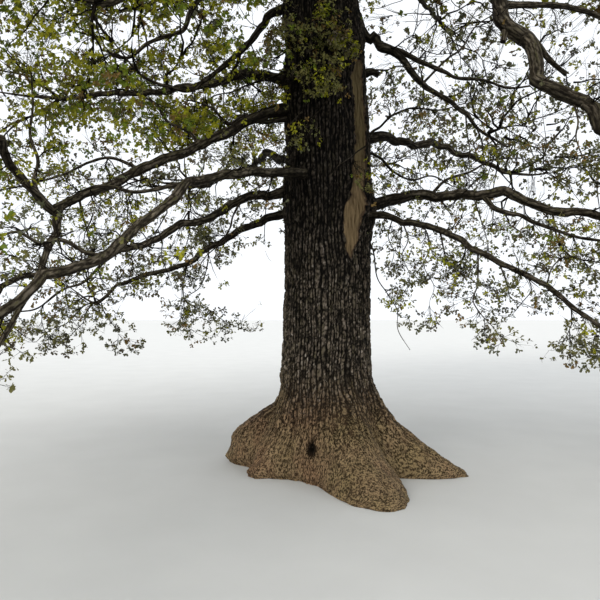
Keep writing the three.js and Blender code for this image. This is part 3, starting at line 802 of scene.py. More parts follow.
class Bench:
    """Adds and links the nodes of one material, group or world."""

    def __init__(self, tree: bpy.types.NodeTree) -> None:
        """Starts on an empty tree."""
        self.tree = tree
        tree.nodes.clear()

    @classmethod
    def material(cls, name: str) -> tuple[Material, "Bench"]:
        """Starts a material.

        Args:
            name: Its name.

        Returns:
            The material and its bench.
        """
        material = bpy.data.materials.new(name)
        material.use_nodes = True
        return material, cls(material.node_tree)

    def put(self, kind: str, links: dict | None = None, **settings: object) -> bpy.types.Node:
        """Adds a node.

        Args:
            kind: Its Blender type.
            links: What goes into each input: another node's output, or a value.
            settings: Its own properties.

        Returns:
            The node.
        """
        node = self.tree.nodes.new(kind)
        for key, value in settings.items():
            setattr(node, key, value)
        for key, value in (links or {}).items():
            if isinstance(value, Socket):
                self.tree.links.new(value, node.inputs[key])
            else:
                node.inputs[key].default_value = value
        return node

    def attribute(self, name: str) -> Socket:
        """A number kept at each of the mesh's vertices."""
        return self.put("ShaderNodeAttribute", attribute_name=name).outputs["Fac"]

    def height(self, vector: Socket) -> Socket:
        """A vector's Z."""
        return self.put("ShaderNodeSeparateXYZ", {0: vector}).outputs["Z"]

    def noise(self, where: Socket, scale: object, detail: float, roughness: float = 0.5) -> Socket:
        """A noise's level at a place."""
        links = {"Vector": where, "Scale": scale, "Detail": detail, "Roughness": roughness}
        return self.put("ShaderNodeTexNoise", links).outputs["Fac"]

    def sum(self, kind: str, *numbers: object, clamped: bool = True) -> Socket:
        """A sum, product or the like of numbers, held between 0 and 1 where it is clamped."""
        links = dict(enumerate(numbers))
        return self.put("ShaderNodeMath", links, operation=kind, use_clamp=clamped).outputs[0]

    def vector(self, kind: str, a: Socket, b: object) -> Socket:
        """A sum or product of two vectors."""
        return self.put("ShaderNodeVectorMath", {0: a, 1: b}, operation=kind).outputs[0]

    def spread(self, value: Socket, low: float, high: float) -> Socket:
        """A number spread smoothly from 0 at low to 1 at high."""
        links = {"Value": value, "From Min": low, "From Max": high}
        return self.put("ShaderNodeMapRange", links, interpolation_type="SMOOTHSTEP").outputs["Result"]

    def ramp(self, factor: Socket, *stops: tuple[float, Colour]) -> Socket:
        """A colour ramp.

        Args:
            factor: What it reads.
            stops: Places from 0 to 1 and their colours.

        Returns:
            Its colour.
        """
        node = self.put("ShaderNodeValToRGB", {"Fac": factor})
        elements = node.color_ramp.elements
        while len(elements) < len(stops):
            elements.new(1.0)
        for element, (place, colour) in zip(elements, stops):
            element.position = place
            element.color = (*colour, 1.0)
        return node.outputs["Color"]

    def mix(self, factor: object, a: object, b: object, blend: str = "MIX") -> Socket:
        """A mix of two colours.

        Args:
            factor: How much of the second, a value or an output.
            a: The first colour or output.
            b: The second colour or output.
            blend: How they mix.

        Returns:
            The mixed colour.
        """
        node = self.put("ShaderNodeMix", {0: factor}, data_type="RGBA", blend_type=blend)
        for index, value in ((6, a), (7, b)):
            if isinstance(value, Socket):
                self.tree.links.new(value, node.inputs[index])
            else:
                node.inputs[index].default_value = (*value, 1.0)
        return node.outputs[2]

    def tinted(self, colour: object, factor: Socket, *stops: tuple[float, Colour]) -> Socket:
        """A colour times a ramp."""
        return self.mix(1.0, colour, self.ramp(factor, *stops), "MULTIPLY")

    def dimmed(self, colour: Socket, level: Socket, first: float, last: float) -> Socket:
        """A colour that keeps a first share of its brightness at level 0 and a last share at level 1."""
        return self.tinted(colour, level, (0.0, (first,) * 3), (1.0, (last,) * 3))

    def bumped(self, height: Socket, strength: float, distance: float) -> Socket:
        """The direction of a surface with small heights on it."""
        links = {"Height": height, "Strength": strength, "Distance": distance}
        return self.put("ShaderNodeBump", links).outputs["Normal"]

    def surface(self, links: dict) -> None:
        """Ends a material in its surface."""
        shader = self.put("ShaderNodeBsdfPrincipled", links)
        self.put("ShaderNodeOutputMaterial", {"Surface": shader.outputs[0]})


class GrainGroup:
    """The shared effect of fine fibre and flecks that run along the wood."""

    NAME = "fine_grain"
    INPUTS = {"Size": 30.0, "Stretch": 0.25}
    OUTPUTS = ("Fibre", "Fleck", "Patch")
    SHIFT = (3.1, 5.7, 1.9)
    FLECKS = (0.56, 0.68)
    PATCHES = 1.7

    @classmethod
    def tree(cls) -> bpy.types.NodeTree:
        """The group's node tree, built once.

        Returns:
            The tree, with inputs Size and Stretch and outputs Fibre, Fleck and Patch.
        """
        made = bpy.data.node_groups.get(cls.NAME)
        if made:
            return made
        tree = bpy.data.node_groups.new(cls.NAME, "ShaderNodeTree")
        bench = Bench(tree)
        for name, value in cls.INPUTS.items():
            socket = tree.interface.new_socket(name, in_out="INPUT", socket_type="NodeSocketFloat")
            socket.default_value = value
        for name in cls.OUTPUTS:
            tree.interface.new_socket(name, in_out="OUTPUT", socket_type="NodeSocketFloat")
        given = bench.put("NodeGroupInput").outputs
        flow = bench.put("ShaderNodeAttribute", attribute_name="flow").outputs["Vector"]
        stretch = bench.put("ShaderNodeCombineXYZ", {0: 1.0, 1: 1.0, 2: given["Stretch"]}).outputs[0]
        scaled = bench.vector("MULTIPLY", flow, stretch)
        fibre = bench.noise(scaled, given["Size"], 4.0, 0.7)
        dashes = bench.noise(bench.vector("ADD", scaled, cls.SHIFT), given["Size"], 1.5, 0.6)
        where = bench.put("ShaderNodeTexCoord").outputs["Object"]
        patch = bench.noise(where, cls.PATCHES, 3.0, 0.6)
        levels = (fibre, bench.spread(dashes, *cls.FLECKS), patch)
        bench.put("NodeGroupOutput", dict(zip(cls.OUTPUTS, levels)))
        return tree


@dataclass(frozen=True)
class BarkFinish:
    """Furrowed bark whose plates, flare and scar come from the mesh's own attributes.

    Attributes:
        name: The material's name.
        furrow: Colour deep in a furrow: the bark's own dark, deepened with painted shade.
        side: Colour halfway up a plate.
        plate: Colour on top of a plate.
        fleck: Colour of the palest flecks.
        moss: Colour of the green film on damp and upper sides.
        worn: Colour of the smooth bark low on the root flare.
        wood: Colour of the bare wood.
        grain_size: How fine the grain is.
        moss_amount: How much green there is.
        shade: From which height to which the bark darkens, and to what share: painted shade of the crown.
        inner: The share of its brightness that bark keeps next to the trunk, where painted shade darkens it.
        under: The share of its brightness that bark keeps on its undersides, where painted shade darkens it.
        gleam: How strongly it mirrors light.
        bump: The strength and the depth of its finest relief.
    """

    name: str
    furrow: Colour = (0.0035, 0.0028, 0.0018)
    side: Colour = (0.050, 0.041, 0.031)
    plate: Colour = (0.140, 0.113, 0.088)
    fleck: Colour = (0.30, 0.26, 0.215)
    moss: Colour = (0.046, 0.045, 0.013)
    worn: Colour = (0.158, 0.110, 0.060)
    wood: Colour = (0.128, 0.092, 0.050)
    grain_size: float = 58.0
    moss_amount: float = 0.3
    # Painted shade of the crown: the trunk bark darkens from 1.2 m up to 3 m, to about a quarter.
    shade: tuple[float, float, float] = (1.2, 3.0, 0.26)
    inner: float = 1.0
    under: float = 1.0
    gleam: float = 0.04
    bump: tuple[float, float] = (0.7, 0.006)

    def build(self) -> Material:
        """Builds the material.

        Returns:
            The material.
        """
        material, bench = Bench.material(self.name)
        nodes = BarkNodes(bench, self)
        for layer in (nodes.plates, nodes.damp, nodes.shaded, nodes.worn, nodes.bare):
            layer()
        height = bench.sum("MULTIPLY", nodes.fibre, 0.7)
        height = bench.sum("ADD", height, bench.sum("MULTIPLY", nodes.dots, nodes.flare))
        links = {
            "Base Color": nodes.colour,
            "Roughness": bench.sum("MAXIMUM", bench.spread(nodes.fibre, 1.2, -0.6), 0.7),
            "Specular IOR Level": self.gleam,
            "Normal": bench.bumped(height, *self.bump),
        }
        bench.surface(links)
        return material


class BarkNodes:
    """The nodes of one bark, laid over each other from its plates to its bare wood."""

    GRAINS = ((1.0, 0.36), (0.3, 0.35), (1.9, 0.3))
    STREAKS = (1.1, 0.07)
    FLANK = ((0.0, 0.1), (0.28, 0.4), (0.6, 1.0), (1.0, 1.62))
    TOE = ((0.0, 0.22), (0.55, 0.8), (1.0, 1.62))
    REDDISH = (0.080, 0.046, 0.026)
    CRACK = (0.035, 0.023, 0.014)
    # The scar's dark rim: partly the curled bark's own brown, partly painted shade where the bark steps down
    # to the wood.
    RIM_TONE_AND_SHADE = (0.052, 0.033, 0.020)

    def __init__(self, bench: Bench, finish: BarkFinish) -> None:
        """Starts with the grain, the mesh's own numbers and the surface's place and direction.

        Args:
            bench: The material's bench.
            finish: The bark's colours and measures.
        """
        self.bench = bench
        self.finish = finish
        self.grain, self.coarse, self.speck = (self.levels(*kind) for kind in self.GRAINS)
        self.fibre = self.grain["Fibre"]
        names = ("plate", "tone", "flare", "scar")
        self.ridge, self.tone, self.flare, self.scar = (bench.attribute(name) for name in names)
        self.where = bench.put("ShaderNodeTexCoord").outputs["Object"]
        self.rising = bench.height(self.where)
        self.upward = bench.height(bench.put("ShaderNodeNewGeometry").outputs["Normal"])
        self.colour: Socket | None = None
        self.dots: Socket | None = None

    def levels(self, share: float, stretch: float) -> bpy.types.bpy_prop_collection:
        """The grain's levels at a share of the finest size, stretched along the stem."""
        links = {"Size": self.finish.grain_size * share, "Stretch": stretch}
        return self.bench.put("ShaderNodeGroup", links, node_tree=GrainGroup.tree()).outputs

    def plates(self) -> None:
        """Starts with the furrows, whose dark is partly painted shade, the plates in their own tones and the
        palest flecks.
        """
        bench, finish = self.bench, self.finish
        shaken = bench.sum("MULTIPLY_ADD", self.fibre, 2.2, self.ridge, clamped=False)
        stops = ((0.0, finish.furrow), (0.42, finish.side), (0.95, finish.plate))
        colour = bench.ramp(bench.spread(shaken, 1.1, 2.2), *stops)
        stops = ((0.0, (0.62, 0.61, 0.59)), (0.75, WHITE), (1.0, (1.35, 1.32, 1.28)))
        colour = bench.tinted(colour, self.tone, *stops)
        pale = bench.sum("MULTIPLY", self.grain["Fleck"], bench.spread(self.ridge, 0.15, 0.7))
        pale = bench.sum("MULTIPLY", pale, bench.spread(self.tone, 0.1, 0.8))
        self.colour = bench.mix(pale, colour, finish.fleck)

    def damp(self) -> None:
        """Lays the green film on."""
        bench, amount = self.bench, self.finish.moss_amount
        damp = bench.sum("MULTIPLY", bench.spread(self.upward, -0.25, 0.9), amount * 2)
        damp = bench.sum("ADD", damp, amount)
        damp = bench.sum("MULTIPLY", damp, bench.spread(self.coarse["Fibre"], 0.42, 0.68))
        damp = bench.sum("MULTIPLY", damp, bench.spread(self.ridge, 0.1, 0.9))
        self.colour = bench.mix(damp, self.colour, self.finish.moss)

    def shaded(self) -> None:
        """Paints shade into the bark: darker up the trunk under the crown, next to the trunk and on
        undersides.
        """
        bench, finish = self.bench, self.finish
        low, high, share = finish.shade
        colour = bench.dimmed(self.colour, bench.spread(self.rising, low, high), 1.0, share)
        flat = bench.vector("MULTIPLY", self.where, (1.0, 1.0, 0.0))
        outward = bench.put("ShaderNodeVectorMath", {0: flat}, operation="LENGTH").outputs["Value"]
        # Painted shade next to the trunk.
        colour = bench.dimmed(colour, bench.spread(outward, 0.5, 1.7), finish.inner, 1.0)
        # Painted shade on undersides.
        self.colour = bench.dimmed(colour, bench.spread(self.upward, -0.7, 0.3), finish.under, 1.0)

    def worn(self) -> None:
        """Lays the worn bark over the root flare, its dots sunk where furrows run on into it."""
        bench, patch = self.bench, self.grain["Patch"]
        sunk = bench.sum("SUBTRACT", 0.75, self.ridge)
        sunk = bench.sum("MULTIPLY", sunk, bench.spread(self.flare, 1.35, 0.25))
        sunk = bench.sum("MULTIPLY", sunk, -1.1, clamped=False)
        dots = bench.sum("MULTIPLY_ADD", self.speck["Fibre"], 3.6, sunk, clamped=False)
        self.dots = bench.spread(dots, 1.33, 2.0)
        shades = []
        for shares in (self.FLANK, self.TOE):
            stops = [(place, tuple(share * c for c in self.finish.worn)) for place, share in shares]
            shades.append(bench.ramp(self.dots, *stops))
        worn = bench.mix(bench.sum("MULTIPLY", bench.spread(self.flare, 0.8, 1.0), 0.65), *shades)
        worn = bench.tinted(worn, patch, (0.36, (1.0, 0.9, 0.92)), (0.5, WHITE), (0.64, (0.92, 0.96, 0.88)))
        red = bench.sum("MULTIPLY", bench.spread(self.coarse["Fibre"], 0.42, 0.72), 0.4)
        worn = bench.mix(red, worn, self.REDDISH)
        reach = bench.sum("MULTIPLY_ADD", patch, 0.5, self.flare, clamped=False)
        self.colour = bench.mix(bench.spread(reach, 0.28, 1.15), self.colour, worn)

    def bare(self) -> None:
        """Lays the bare wood over the scar, streaked and cracked, with painted shade higher up and a dark
        rim that is partly painted shade.
        """
        bench, streaks = self.bench, self.levels(*self.STREAKS)["Fibre"]
        stops = ((0.36, (0.36, 0.33, 0.29)), (0.62, (1.3, 1.28, 1.25)))
        bare = bench.tinted(self.finish.wood, streaks, *stops)
        bare = bench.mix(bench.sum("MULTIPLY", self.coarse["Fleck"], 0.55), bare, self.CRACK)
        # Painted shade of the crown: the bare wood darkens from 2.9 m to 3.4 m.
        high = bench.spread(self.rising, 2.9, 3.4)
        bare = bench.tinted(bare, high, (0.0, WHITE), (1.0, (0.62, 0.66, 0.6)))
        colour = bench.mix(bench.spread(self.scar, 0.45, 1.0), self.colour, bare)
        # The dark rim round the scar's edge, partly the curled bark's brown and partly painted shade at the
        # step.
        rim = bench.sum("MULTIPLY", bench.spread(self.scar, 0.05, 0.5), bench.spread(self.scar, 0.95, 0.5))
        self.colour = bench.mix(rim, colour, self.RIM_TONE_AND_SHADE)


@dataclass(frozen=True)
class LeafFinish:
    """Young leaves of one tint, mottled a little from leaf to leaf.

    Attributes:
        name: The material's name.
        colour: The tint.
        gloss: Roughness of the blade.
        gleam: How strongly it mirrors light.
        bump: The strength and the depth of its finest relief.
    """

    name: str
    colour: Colour
    gloss: float = 0.5
    gleam: float = 0.15
    bump: tuple[float, float] = (0.3, 0.002)

    def build(self) -> Material:
        """Builds the material.

        Returns:
            The material.
        """
        material, bench = Bench.material(self.name)
        where = bench.put("ShaderNodeTexCoord").outputs["Object"]
        broad, fine = bench.noise(where, 3.0, 2.0), bench.noise(where, 38.0, 3.0)
        colour = bench.tinted(self.colour, broad, (0.3, (0.72, 0.76, 0.7)), (0.7, (1.22, 1.16, 1.1)))
        colour = bench.tinted(colour, fine, (0.35, (0.8, 0.84, 0.8)), (0.65, (1.12, 1.1, 1.05)))
        links = {
            "Base Color": colour,
            "Roughness": self.gloss,
            "Specular IOR Level": self.gleam,
            "Normal": bench.bumped(fine, *self.bump),
        }
        bench.surface(links)
        return material


class Tint(Enum):
    """The leaf tints that sprays are dealt."""

    YELLOW_GREEN = LeafFinish("leaf_yellow_green", (0.240, 0.238, 0.012))
    FRESH_GREEN = LeafFinish("leaf_fresh_green", (0.12, 0.16, 0.014))
    OLIVE = LeafFinish("leaf_olive", (0.122, 0.116, 0.038))
    GREY_GREEN = LeafFinish("leaf_grey_green", (0.097, 0.098, 0.056))
    UMBER = LeafFinish("leaf_umber", (0.072, 0.060, 0.037))
    BRONZE = LeafFinish("leaf_bronze", (0.14, 0.088, 0.026))


def finish_piece(piece: Piece, nodes: list[str]) -> None:
    """Seats a finished piece in the frame.

    Args:
        piece: The piece.
        nodes: The CAD nodes that it stands for.
    """
    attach(piece, BODY)
    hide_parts(*nodes)
    log.info("%s: %d faces", piece.name, len(piece.data.polygons))


class BarkTube:
    """A sheet of many faces that is rolled round a limb's line: the start of every barked piece."""

    @staticmethod
    def sheet(name: str, sides: int, rings: int) -> tuple[Piece, Array, Array]:
        """A flat sheet, ready to be rolled up.

        Args:
            name: The piece's name.
            sides: How many faces go round.
            rings: How many go along.

        Returns:
            The piece, and each vertex's angle in radians and ring.
        """
        bpy.ops.object.select_all(action="DESELECT")
        bpy.ops.mesh.primitive_grid_add(x_subdivisions=sides, y_subdivisions=rings, size=1)
        piece = bpy.context.object
        piece.name = piece.data.name = name
        places = np.empty(len(piece.data.vertices) * 3, dtype=np.float32)
        piece.data.vertices.foreach_get("co", places)
        places = places.reshape(-1, 3)
        columns = np.rint((places[:, 0] + 0.5) * sides).astype(int) % sides
        return piece, columns * 2 * math.pi / sides, np.rint((places[:, 1] + 0.5) * rings).astype(int)

    @staticmethod
    def roll(piece: Piece, places: Array, material: Material, **facts: Array) -> None:
        """Rolls a sheet up, closes its seam and its ends and gives it its finish.

        Args:
            piece: The sheet.
            places: Where its vertices go, (n, 3).
            material: Its material.
            facts: Numbers (n,) or directions (n, 3) kept at each vertex under their names.
        """
        mesh = piece.data
        mesh.vertices.foreach_set("co", places.astype(np.float32).ravel())
        for key, values in facts.items():
            kind, slot = ("FLOAT", "value") if values.ndim == 1 else ("FLOAT_VECTOR", "vector")
            kept = mesh.attributes.new(key, kind, "POINT")
            kept.data.foreach_set(slot, values.astype(np.float32).ravel())
        mesh.materials.append(material)
        bpy.ops.object.mode_set(mode="EDIT")
        bpy.ops.mesh.select_all(action="SELECT")
        bpy.ops.mesh.remove_doubles(threshold=1e-6)
        bpy.ops.mesh.fill_holes(sides=0)
        bpy.ops.mesh.normals_make_consistent(inside=False)
        bpy.ops.object.mode_set(mode="OBJECT")
        bpy.ops.object.shade_smooth_by_angle(angle=math.radians(80))


@dataclass(frozen=True)
class Hollow:
    """A hollow between two buttresses, sunk into the trunk and painted dark as painted shade."""

    heading: float = -106.0
    height: float = 0.31
    size: tuple[float, float] = (0.045, 0.062)
    depth: float = 0.07

    def __call__(self, z: Array, angle: Array, radius: Array) -> Array:
        """How deep it lies at points on the trunk, from 0 outside it to 1."""
        across = turned(angle, math.radians(self.heading)) * radius / self.size[0]
        return np.exp(-(across**2) - ((z - self.height) / self.size[1]) ** 2)


@dataclass
class Trunk:
    """The barked trunk with its root flare and scar.

    Attributes:
        roots: Where boughs leave the trunk, each with its radius there.
        relief: The bark's plates.
        scar: The bare strip.
        hollow: The hollow in the flare.
        callus: The heading (radians) and thickness of the wood that has grown round the scar.
        pieces: Each piece's name, the heights that it spans, and its faces round and up.
        crowding: How much the lowest piece's rows crowd towards the ground.
        tuck: How far the roots draw in where they meet the ground.
    """

    roots: list[tuple[Array, float]]
    relief: BarkRelief = BarkRelief(across=0.039, along=0.17, depth=0.019)
    scar: Scar = Scar()
    hollow: Hollow = Hollow()
    callus: tuple[float, float] = (-0.1, 0.045)
    pieces: tuple[tuple[str, float, float, int, int], ...] = (
        ("trunk_foot", 0.0, 1.9, 430, 186),
        ("trunk_middle", 1.9, 5.2, 430, 192),
        ("trunk_top", 5.2, 9.2, 210, 125),
    )
    crowding: float = 1.25
    tuck: float = 0.06

    FLOW_STEPS = 25
    FLOW_GIRTH = 0.4
    CALLUS_WIDTH = 0.8
    CALLUS_HEIGHTS = ((1.8, 2.7), (5.4, 4.2))
    COLLAR = 0.8
    COLLAR_REACH = (2.3, 0.05)
    WORN_HEIGHT = (1.4, 0.15)
    WORN_FLARE = (0.3, 0.8)
    LUMP = (0.016, 0.45)
    KNUCKLE = (0.008, 0.024, 0.15)
    STRAND = (0.036, 0.8)
    TUCK_HEIGHT = 0.09
    WORN_DEPTH = 0.55
    PLATE_TOP = 0.7
    TONE_DEPTH = 0.2
    TOP_INSET = (0.12, 0.012)

    def flow(self, z: Array, angle: Array) -> Array:
        """Where each point would lie on a straight stem, so that the bark follows the flare.

        Args:
            z: Heights, (n,).
            angle: Angles round the axis in radians, (n,).

        Returns:
            Points, (n, 3).
        """
        top = TRUNK.flare_height
        shares = np.linspace(0, 1, self.FLOW_STEPS)
        out = np.array([TRUNK.flare(z + (top - z) * share, angle) for share in shares])
        rise = np.maximum(top - z, 0) * shares[1]
        length = np.sqrt(np.diff(out, axis=0) ** 2 + rise**2).sum(axis=0)
        radius = TRUNK.radius(z) + self.FLOW_GIRTH * out[0]
        down = np.where(z < top, top - length, z)
        return rolled(radius, angle, down)

    def surface(self, z: Array, angle: Array) -> tuple[Array, dict[str, Array]]:
        """The bark's surface.

        Args:
            z: Heights, (n,).
            angle: Angles round the axis in radians, (n,).

        Returns:
            The points (n, 3), and at each how far it lies up a plate, the plate's tone, how far it is out on
            the flare, how far inside the scar, and where it would lie on a straight stem.
        """
        flare = TRUNK.flare(z, angle)
        radius = TRUNK.radius(z) + flare
        aside = (turned(angle, self.callus[0]) / self.CALLUS_WIDTH) ** 2
        rise, fall = self.CALLUS_HEIGHTS
        radius = radius + self.callus[1] * np.exp(-aside) * smoothstep(*rise, z) * smoothstep(*fall, z)
        way = rolled(1.0, angle, np.zeros_like(z))
        axis = TRUNK.axis(z)
        smooth = axis + way * radius[:, None]
        reach, beyond = self.COLLAR_REACH
        for root, girth in self.roots:
            near = np.linalg.norm(smooth - root, axis=1) / (reach * girth + beyond)
            radius = radius + self.COLLAR * girth * np.exp(-(near**2))
        worn = np.maximum(smoothstep(*self.WORN_HEIGHT, z), smoothstep(*self.WORN_FLARE, flare))
        bare = self.scar.bareness(smooth)
        flow = self.flow(z, angle)
        plates, tone = self.relief.plates(flow)
        (lump, broad), (low, high, small), (strand, width) = self.LUMP, self.KNUCKLE, self.STRAND
        knuckles = BarkRelief.lumps(smooth, small, 7.0)
        strands = BarkRelief.lumps(np.stack([9 * angle, z * 0.4, flare], axis=1), width, 3.0)
        radius = radius + lump * BarkRelief.lumps(smooth, broad) + (low + high * worn) * knuckles
        radius = radius + strand * worn * strands
        radius = radius - self.tuck * worn * smoothstep(self.TUCK_HEIGHT, 0.0, z) ** 2
        dark = self.hollow(z, angle, radius)
        depth = self.relief.depth * (1 - (1 - self.WORN_DEPTH) * worn)
        barked = depth * (plates - self.PLATE_TOP) + self.TONE_DEPTH * depth * (tone - 0.5)
        radius = radius + np.where(bare > 0, (1 - bare) * barked - bare * self.scar.depth, barked)
        radius = radius - self.hollow.depth * dark
        height, inset = self.TOP_INSET
        fade = smoothstep(TRUNK.top, TRUNK.top - height, z) * inset - inset
        # Painted shade: inside the hollow the plate and flare numbers fall to 0, so it takes the near-black
        # furrow colour.
        facts = {"plate": plates * (1 - dark) ** 2, "flare": worn * (1 - dark)}
        facts |= {"tone": tone, "scar": bare, "flow": flow}
        return axis + way * (radius + fade)[:, None], facts

    def build(self, material: Material) -> list[Piece]:
        """Builds the trunk's pieces.

        Args:
            material: The bark.

        Returns:
            The pieces, from the ground up.
        """
        built = []
        for name, low, high, columns, rows in self.pieces:
            piece, angle, ring = BarkTube.sheet(name, columns, rows)
            share = (ring / rows) ** (self.crowding if low == 0 else 1.0)
            z = low + (high - low) * share
            places, facts = self.surface(z, angle)
            BarkTube.roll(piece, places, material, **facts)
            finish_piece(piece, ["trunk"])
            built.append(piece)
        return built


@dataclass
class BarkedLimb:
    """One limb with its bark, from inside what carries it to where its mass's stem ends.

    Attributes:
        name: The piece's name.
        line: The limb's even points, (n, 3).
        along: How far along each lies, (n,).
        radii: Its radius at each, (n,).
        seed: Which crooks and plates it gets.
        face: About how wide a face is.
    """

    name: str
    line: Array
    along: Array
    radii: Array
    seed: int
    face: float = 0.015

    SIDES = (7, 36)
    FULL_THICKNESS = 0.08
    SCALES = (0.4, 1.2)
    RELIEF = BarkRelief(across=0.042, along=0.15, depth=0.09)
    PLATE_TOP = 0.65
    KNOB = (0.22, 0.10)
    PATTERN_STEP = 3.7
    KNOB_STEP = 1.3

    def build(self, material: Material) -> Piece:
        """Builds the limb's mesh.

        Args:
            material: The bark.

        Returns:
            The piece.
        """
        thick = float(np.max(self.radii))
        sides = int(np.clip(2 * math.pi * thick / self.face, *self.SIDES))
        piece, angle, ring = BarkTube.sheet(self.name, sides, len(self.line) - 1)
        across, beside = (frames[0] for frames in cross_frames(self.line[None]))
        radius = self.radii[ring]
        straight = rolled(radius, angle, self.along[ring])
        scale = float(np.clip(thick / self.FULL_THICKNESS, *self.SCALES))
        full = self.RELIEF
        relief = replace(full, across=full.across * scale, along=full.along * scale)
        plates, tone = relief.plates(straight, self.PATTERN_STEP * self.seed)
        knob, size = self.KNOB
        knobs = BarkRelief.lumps(straight, size, self.KNOB_STEP * self.seed)
        radius = radius * (1 + relief.depth * (plates - self.PLATE_TOP) + knob * knobs)
        way = np.cos(angle)[:, None] * across[ring] + np.sin(angle)[:, None] * beside[ring]
        straight += self.PATTERN_STEP * self.seed
        places = self.line[ring] + way * radius[:, None]
        BarkTube.roll(piece, places, material, plate=plates, tone=tone, flow=straight)
        return piece


@dataclass(frozen=True)
class Space:
    """The ball that one foliage mass may fill, cut by flat faces where it meets the next.

    Attributes:
        name: The mass's name, without its first word.
        base: Where its stem starts.
        along: The stem's direction there.
        middle: The ball's middle.
        reach: The ball's radius.
        girth: The stem's radius.
        low: True for a mass that is seen close by.
    """

    name: str
    base: Array
    along: Array
    middle: Array
    reach: float
    girth: float
    low: bool

    STEM_STEPS = (0.16, 0.3, 0.3)
    STEM_BENDS = (0.1, 0.5, 0.5)

    @classmethod
    def ahead_of(cls, row: Limb, points: Array, low: bool) -> "Space":
        """The space ahead of a bough's tip.

        Args:
            row: The bough.
            points: The points along it.
            low: True for a bough that is seen close by.

        Returns:
            The space.
        """
        last = unit(points[-1] - points[-2])
        reach, ahead, lift = row.mass
        middle = points[-1] + ahead * reach * np.array([last[0], last[1], max(0.0, last[2])])
        middle[2] += lift * reach
        return cls(row.name, points[-1], last, middle, reach, row.girth[1], low)

    def stem(self) -> Array:
        """The joints of the mass's stem, by the source's rule.

        Returns:
            Points, (4, 3).
        """
        joints = [self.base]
        way = self.along
        for share, bend in zip(self.STEM_STEPS, self.STEM_BENDS):
            inward = unit(self.middle - joints[-1])
            way = unit(way + (inward - way) * bend)
            joints.append(joints[-1] + way * share * self.reach)
        return np.array(joints)


@dataclass
class Spaces:
    """All the spaces of the crown, and which points each one owns.

    Attributes:
        rows: The spaces.
        floor: No foliage hangs lower.
    """

    rows: list[Space]
    floor: float = 1.15

    def owns(self, index: int, points: Array) -> Array:
        """Which points lie in one space and nearer to it than to the others.

        Args:
            index: The space.
            points: Points, (n, 3).

        Returns:
            True where it owns the point, (n,).
        """
        middles = np.array([row.middle for row in self.rows])
        reaches = np.array([row.reach for row in self.rows])
        power = np.sum((points[:, None] - middles) ** 2, axis=2) - reaches**2
        mine = power[:, index]
        return (mine <= 0) & (mine <= power.min(axis=1) + 1e-9) & (points[:, 2] > self.floor)


@dataclass
class Walls:
    """The limbs as straight pieces with a thickness, which twigs keep clear of."""

    starts: Array
    ends: Array
    radii: Array

    def clear(self, points: Array, margin: float) -> Array:
        """Which points keep clear of every limb.

        Args:
            points: Points, (n, 3).
            margin: How far they keep away.

        Returns:
            True where a point is clear, (n,).
        """
        edges = self.ends - self.starts
        squares = np.sum(edges**2, axis=1)
        clear = []
        for some in np.array_split(points, len(points) // 400 + 1):
            away = some[:, None] - self.starts[None]
            t = np.clip(np.einsum("ijk,jk->ij", away, edges) / squares, 0, 1)
            gap = np.linalg.norm(away - t[..., None] * edges[None], axis=2) - self.radii
            clear.append(gap.min(axis=1) > margin)
        return np.concatenate(clear)


@dataclass
class Tracks:
    """The limbs as the reference view sees them, so that few leaves hang in front of them.

    Attributes:
        pixels: Places along them, (n, 2).
        depth: How far each lies from the camera, (n,).
        half: Half of the limb's width there, in pixels, (n,).
        keep: The share of shoots that stay in front.
    """

    pixels: Array
    depth: Array
    half: Array
    keep: float = 0.2

    THINNEST = 0.02
    NEAREST = 0.8
    MARGIN = 30
    MARGIN_FREE = 20
    CLEARANCE = 4

    @classmethod
    def of(cls, limbs: list[LimbLine]) -> "Tracks":
        """The tracks of limbs that are thick enough to show.

        Args:
            limbs: Each limb's points, distances and radii.

        Returns:
            The tracks.
        """
        thick = [(line[::3], radii[::3]) for line, _, radii in limbs if radii[0] > cls.THINNEST]
        lines, radii = (np.concatenate(column) for column in zip(*thick))
        pixels, depth = VIEW.pixels(lines)
        seen = VIEW.framed(pixels, depth, cls.MARGIN, cls.NEAREST)
        half = VIEW.focal_pixels * radii[seen] / depth[seen]
        return cls(pixels[seen], depth[seen], half)

    def free(self, pixels: Array, depth: Array, luck: Array) -> Array:
        """Which places leave the limbs in sight.

        Args:
            pixels: Places in the view, (n, 2).
            depth: How far they lie from the camera, (n,).
            luck: A random number for each, (n,).

        Returns:
            True where a shoot may stay, (n,).
        """
        free = np.ones(len(pixels), dtype=bool)
        inside = np.nonzero(VIEW.framed(pixels, depth, self.MARGIN_FREE) & (luck > self.keep))[0]
        for some in np.array_split(inside, len(inside) // 400 + 1):
            gap = np.linalg.norm(pixels[some][:, None] - self.pixels[None], axis=2)
            before = (gap < self.half + self.CLEARANCE) & (depth[some][:, None] < self.depth[None])
            free[some] = ~before.any(axis=1)
        return free


